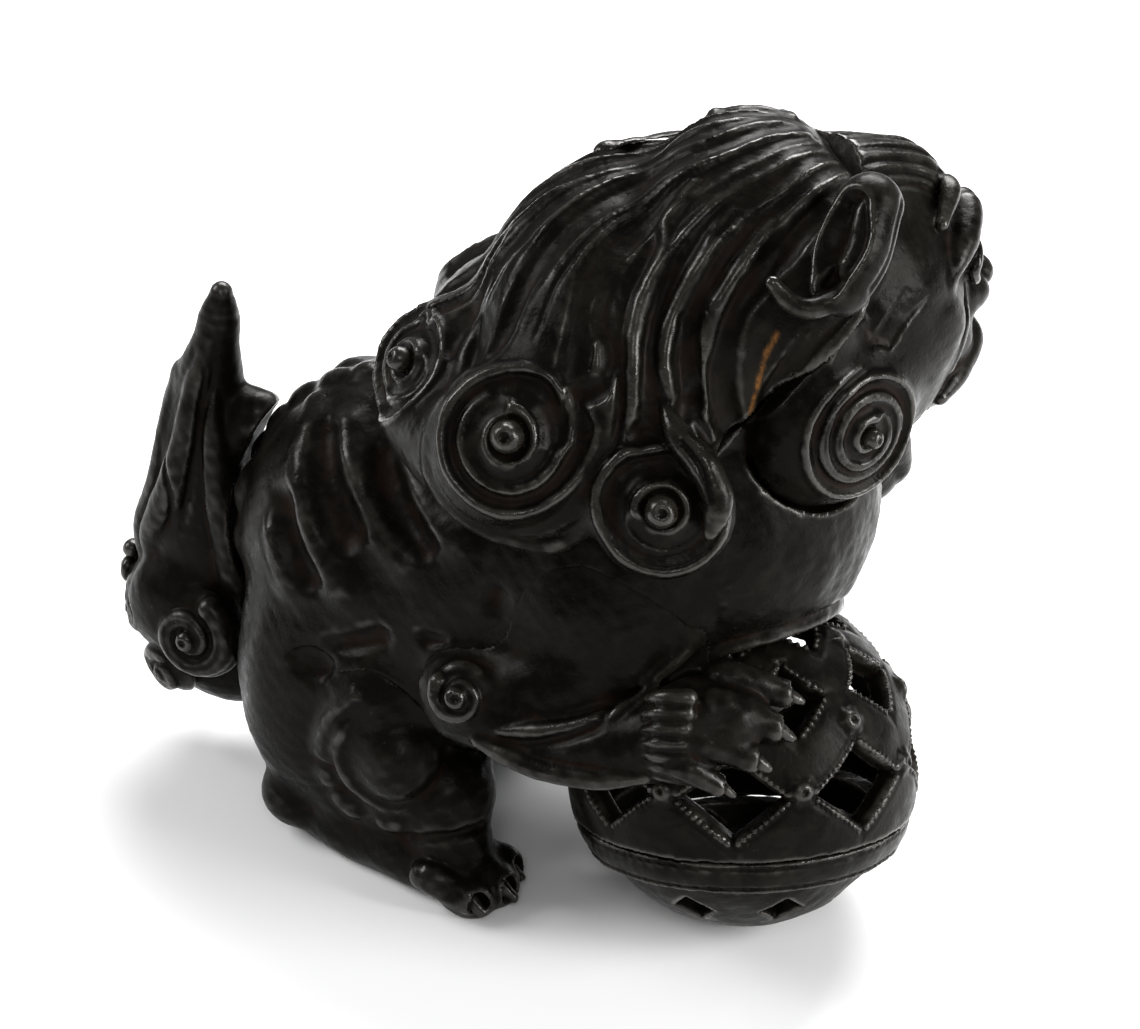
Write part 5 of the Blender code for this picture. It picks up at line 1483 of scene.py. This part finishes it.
def build_ball():
    lo, hi = BALL_C - 37, BALL_C + 37
    lo = np.maximum(lo, (-99, -99, 0))
    c = Clay(lo, hi, 0.45)
    x, y, z = c.ax[0][:, None, None], c.ax[1][None, :, None], c.ax[2][None, None, :]
    dx, dy, dz = x - np.float32(BALL_C[0]), y - np.float32(BALL_C[1]), z - np.float32(BALL_C[2])
    rr = np.sqrt(dx * dx + dy * dy + dz * dz)
    hgt = dx * np.float32(BAND_N[0]) + dy * np.float32(BAND_N[1]) + dz * np.float32(BAND_N[2])
    fa = dx * np.float32(FIRST[0]) + dy * np.float32(FIRST[1]) + dz * np.float32(FIRST[2])
    ea = dx * np.float32(EAST[0]) + dy * np.float32(EAST[1]) + dz * np.float32(EAST[2])
    lat = np.degrees(np.arcsin(np.clip(hgt / np.maximum(rr, 1), -1, 1))).astype(np.float32)
    lon = np.degrees(np.arctan2(ea, fa)).astype(np.float32)
    rings = [(6.0, 0.0, 17.5, 14.0, range(8)), (37.0, 22.5, 15.0, 12.0, (0, 1, 2, 3, 4, 7)), (62.0, 0.0, 17.0, 8.5, range(8))]
    field = np.full(rr.shape, 9.0, np.float32)
    windows = []
    for la, off, wl, wa, ks in rings:
        for k in ks:
            lc = 45.0 * k + off
            dl = (lon - np.float32(lc) + 180) % 360 - 180
            e = (np.abs(dl / np.float32(wl)) ** 0.92 + np.abs((lat - la) / np.float32(wa)) ** 0.92) ** (1 / 0.92)
            scale = min(wl * math.cos(math.radians(la)), wa) * math.pi / 180 * BALL_R * 0.75
            field = np.minimum(field, (e - 1) * np.float32(scale))
            windows.append((lc, la, wl, wa))
    # lens petals rise between the windows, with a bead line along each window edge
    petal = 1.15 * np.clip(field / 2.6, 0, 1) ** 0.5 - 0.35
    wall = np.maximum(rr - (BALL_R + petal), (BALL_R - 3.6) - rr)
    c.d = wall.astype(np.float32)
    c.d = -smin(-c.d, field, 0.5)
    beads = []
    for lc, la, wl, wa in windows:
        for q in range(4):
            a0 = ((0, wa), (wl, 0), (0, -wa), (-wl, 0))[q]
            a1 = ((wl, 0), (0, -wa), (-wl, 0), (0, wa))[q]
            length = math.hypot((a1[0] - a0[0]) * math.cos(math.radians(la)), a1[1] - a0[1]) * math.pi / 180 * BALL_R
            m = max(4, int(length / 1.15))
            for j in range(1, m):
                f = j / m
                g = 1.10
                p = on_ball(lc + (a0[0] * (1 - f) + a1[0] * f) * g, la + (a0[1] * (1 - f) + a1[1] * f) * g, BALL_R + 0.42)
                beads.append(p)
    beads = np.array(beads)
    keep = (beads - BALL_C) @ BAND_N > BAND_TOP + 1.5
    beads = beads[keep]
    for p in beads:
        c.add(ball(tuple(p), 0.58), 0.15, pad=1.5)
    # rosettes where the petals cross, and a boss at the crown
    spots = [(22.5 + 45 * k, 8, 2.3) for k in range(8)] + [(45 * k, 27, 2.4) for k in range(8)] + [(45 * k + 22.5, 54, 2.0) for k in range(8)]
    for ln, la, r in spots:
        p = on_ball(ln, la, BALL_R + 0.2)
        n = unit(p - BALL_C)
        e = unit(np.cross(BAND_N, n))
        f = np.cross(n, e)
        c.add(ball(tuple(p), (r, r, r * 0.85), axes=(e, f, n)), 0.8, pad=3)
        for k in range(6):
            a = math.radians(60 * k)
            w = p + (e * math.cos(a) + f * math.sin(a)) * r * 0.95
            c.add(ball(tuple(w), r * 0.42), 0.35, pad=2)
        c.cut(ball(tuple(p + n * r * 0.85), r * 0.32), 0.2)
    top = on_ball(0, 90, BALL_R)
    n = BAND_N
    c.add(ball(tuple(top), (4.2, 4.2, 1.8), axes=(FIRST, EAST, BAND_N)), 0.6, pad=3)
    for k in range(10):
        a = math.radians(36 * k)
        c.add(ball(tuple(top + (FIRST * math.cos(a) + EAST * math.sin(a)) * 4.2), 1.2), 0.4, pad=2)
    pin = unit(np.array(PAW_C) - BALL_C)
    c.cut(limb([BALL_C + pin * 20, BALL_C + pin * 45], [2.0, 2.0]), 0.2)
    upper = c.d.copy()
    # upper part keeps clear of the lion that sits on it
    c.d = np.maximum(upper, (BAND_TOP + 0.2) - hgt)
    seat = Clay.part_of(c, lo - 1, hi + 1)
    fuse(seat, TORSO, 4.0)
    c.d = np.maximum(c.d, rr - (BALL_R + 2.3 - 1.3 * np.clip((5.5 - seat.d) / 2.0, 0, 1)))
    cast("ball_upper_lattice", c, "statue", "ball_upper", MAT["ball"], 0.09, 21, keep=1)

    # lower cup with its foot
    c.d = np.maximum(rr - LOWER_R, (LOWER_R - 3.6) - rr).astype(np.float32)
    field = np.full(rr.shape, 9.0, np.float32)
    for k in range(8):
        dl = (lon - np.float32(45.0 * k + 22.5) + 180) % 360 - 180
        e = np.abs(dl / np.float32(11)) + np.abs((lat + 46) / np.float32(8.5))
        field = np.minimum(field, (e - 1) * np.float32(3.0))
    foot = np.maximum(np.sqrt(dx * dx + dy * dy) - (10.5 + np.clip(z, 0, 6) * 0.33), z - 6.0)
    inner = (LOWER_R - 3.6) - rr
    body = -smin(-c.d, field, 0.5)
    f2 = np.maximum(foot, inner)
    c.d = smin(body, f2.astype(np.float32), 1.2)
    # turned rings on the foot
    ring = np.sqrt((np.sqrt(dx * dx + dy * dy) - 11.6) ** 2 + (z - 2.0) ** 2) - 1.1
    c.d = smin(c.d, np.maximum(ring, 0.0 - z).astype(np.float32), 0.6)
    c.d = np.maximum(c.d, hgt - (BAND_LOW - 0.2))
    c.d = np.maximum(c.d, 0.02 - z + 0 * c.d)
    cast("ball_lower_cup", c, "statue", "ball_lower", MAT["ball"], 0.09, 22, keep=1)

    # ribbon: a smooth band with rolled edges and a shallow hollow between
    mid = 0.5 * (BAND_TOP + BAND_LOW)
    half = 0.5 * (BAND_TOP - BAND_LOW) - 0.2
    q = (hgt - mid) / half
    bulge = BAND_PROUD * (0.45 + 0.55 * np.clip(np.abs(q), 0, 1) ** 6) + 0.5 * (1 - np.abs(q) ** 2)
    side = np.sqrt(fa * fa + ea * ea)
    c.d = np.maximum(rr - (BALL_R - 0.25 + bulge), (BALL_R - 3.6 - 4.5) - side)
    c.d = -smin(-c.d, -(np.abs(hgt - mid) - half), 0.5)
    grooves = np.exp(-((np.abs(q) - 0.72) / 0.07) ** 2) * 0.45
    c.d = (c.d + grooves * (rr > BALL_R - 2)).astype(np.float32)
    c.d = np.maximum(c.d, 0.02 - z + 0 * c.d)
    cast("ball_ribbon_band", c, "statue", "ball_ribbon", MAT["band"], 0.10, 23, keep=1)


# ----------------------------------------------------------------------------- build
build_body()
build_mane()
build_head()
build_ears()
build_tail()
build_ball()

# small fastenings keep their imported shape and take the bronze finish
for node, body, slot_name in (("paw_rivet", "statue", "bronze_pins"), ("tail_tenon", "statue", "bronze_pins"),
                              ("belly_plate", "statue", "bronze_plate"), ("belly_rivet_1", "statue", "bronze_pins"),
                              ("belly_rivet_2", "statue", "bronze_pins"), ("belly_rivet_3", "statue", "bronze_pins"),
                              ("belly_rivet_4", "statue", "bronze_pins")):
    o = bpy.data.objects.get(node)
    if o is not None:
        o.data.materials.clear()
        o.data.materials.append(MAT["pins"])
        if node != "belly_plate":
            o.data.shade_smooth()

# ----------------------------------------------------------------------------- floor, light, camera
scene = bpy.context.scene
scene.view_settings.view_transform = "Standard"
scene.view_settings.look = "None"


def paper():
    mat = bpy.data.materials.new("pale_floor")
    mat.use_nodes = True
    nt = mat.node_tree
    bsdf = nt.nodes["Principled BSDF"]
    bsdf.inputs["Base Color"].default_value = (0.93, 0.93, 0.93, 1)
    bsdf.inputs["Roughness"].default_value = 0.9
    bsdf.inputs["Specular IOR Level"].default_value = 0.1
    return mat


me = bpy.data.meshes.new("floor")
S = 3.0
me.from_pydata([(-S, -S, 0), (S, -S, 0), (S, S, 0), (-S, S, 0)], [], [(0, 1, 2, 3)])
me.materials.append(paper())
floor = bpy.data.objects.new("floor", me)
scene.collection.objects.link(floor)

world = bpy.data.worlds.new("studio")
world.use_nodes = True
scene.world = world
world.node_tree.nodes["Background"].inputs[0].default_value = (1, 1, 1, 1)
world.node_tree.nodes["Background"].inputs[1].default_value = 0.27


def area(name, at, aim, size, power):
    light = bpy.data.lights.new(name, "AREA")
    light.shape = "RECTANGLE"
    light.size, light.size_y = size
    light.energy = power
    ob = bpy.data.objects.new(name, light)
    ob.location = at
    ob.rotation_euler = (Vector(aim) - Vector(at)).to_track_quat("-Z", "Y").to_euler()
    scene.collection.objects.link(ob)


area("window_back", (-0.05, 0.75, 0.85), (0.0, 0.0, 0.08), (0.9, 0.5), 22.0)
area("right_soft", (0.95, -0.05, 0.42), (0.03, 0.0, 0.08), (0.35, 0.6), 11.0)
area("left_soft", (-0.80, -0.15, 0.65), (0.0, 0.0, 0.08), (0.4, 0.5), 6.0)
area("front_soft", (0.35, -0.95, 0.95), (0.0, 0.0, 0.08), (0.5, 0.5), 3.2)

AZ, EL, DIST = math.radians(20.0), math.radians(32.0), 0.600
AIM = Vector((0.0154, -0.0103, 0.0780))
back = Vector((math.sin(AZ) * math.cos(EL), -math.cos(AZ) * math.cos(EL), math.sin(EL)))
cam_data = bpy.data.cameras.new("studio_camera")
cam_data.lens = 98.526
cam_data.sensor_width = 36.0
cam_data.sensor_fit = "HORIZONTAL"
cam_data.clip_start = 0.01
cam = bpy.data.objects.new("studio_camera", cam_data)
cam.location = AIM + back * DIST
cam.rotation_euler = back.to_track_quat("Z", "Y").to_euler()
scene.collection.objects.link(cam)
scene.camera = cam

print("faces:", PIECES)
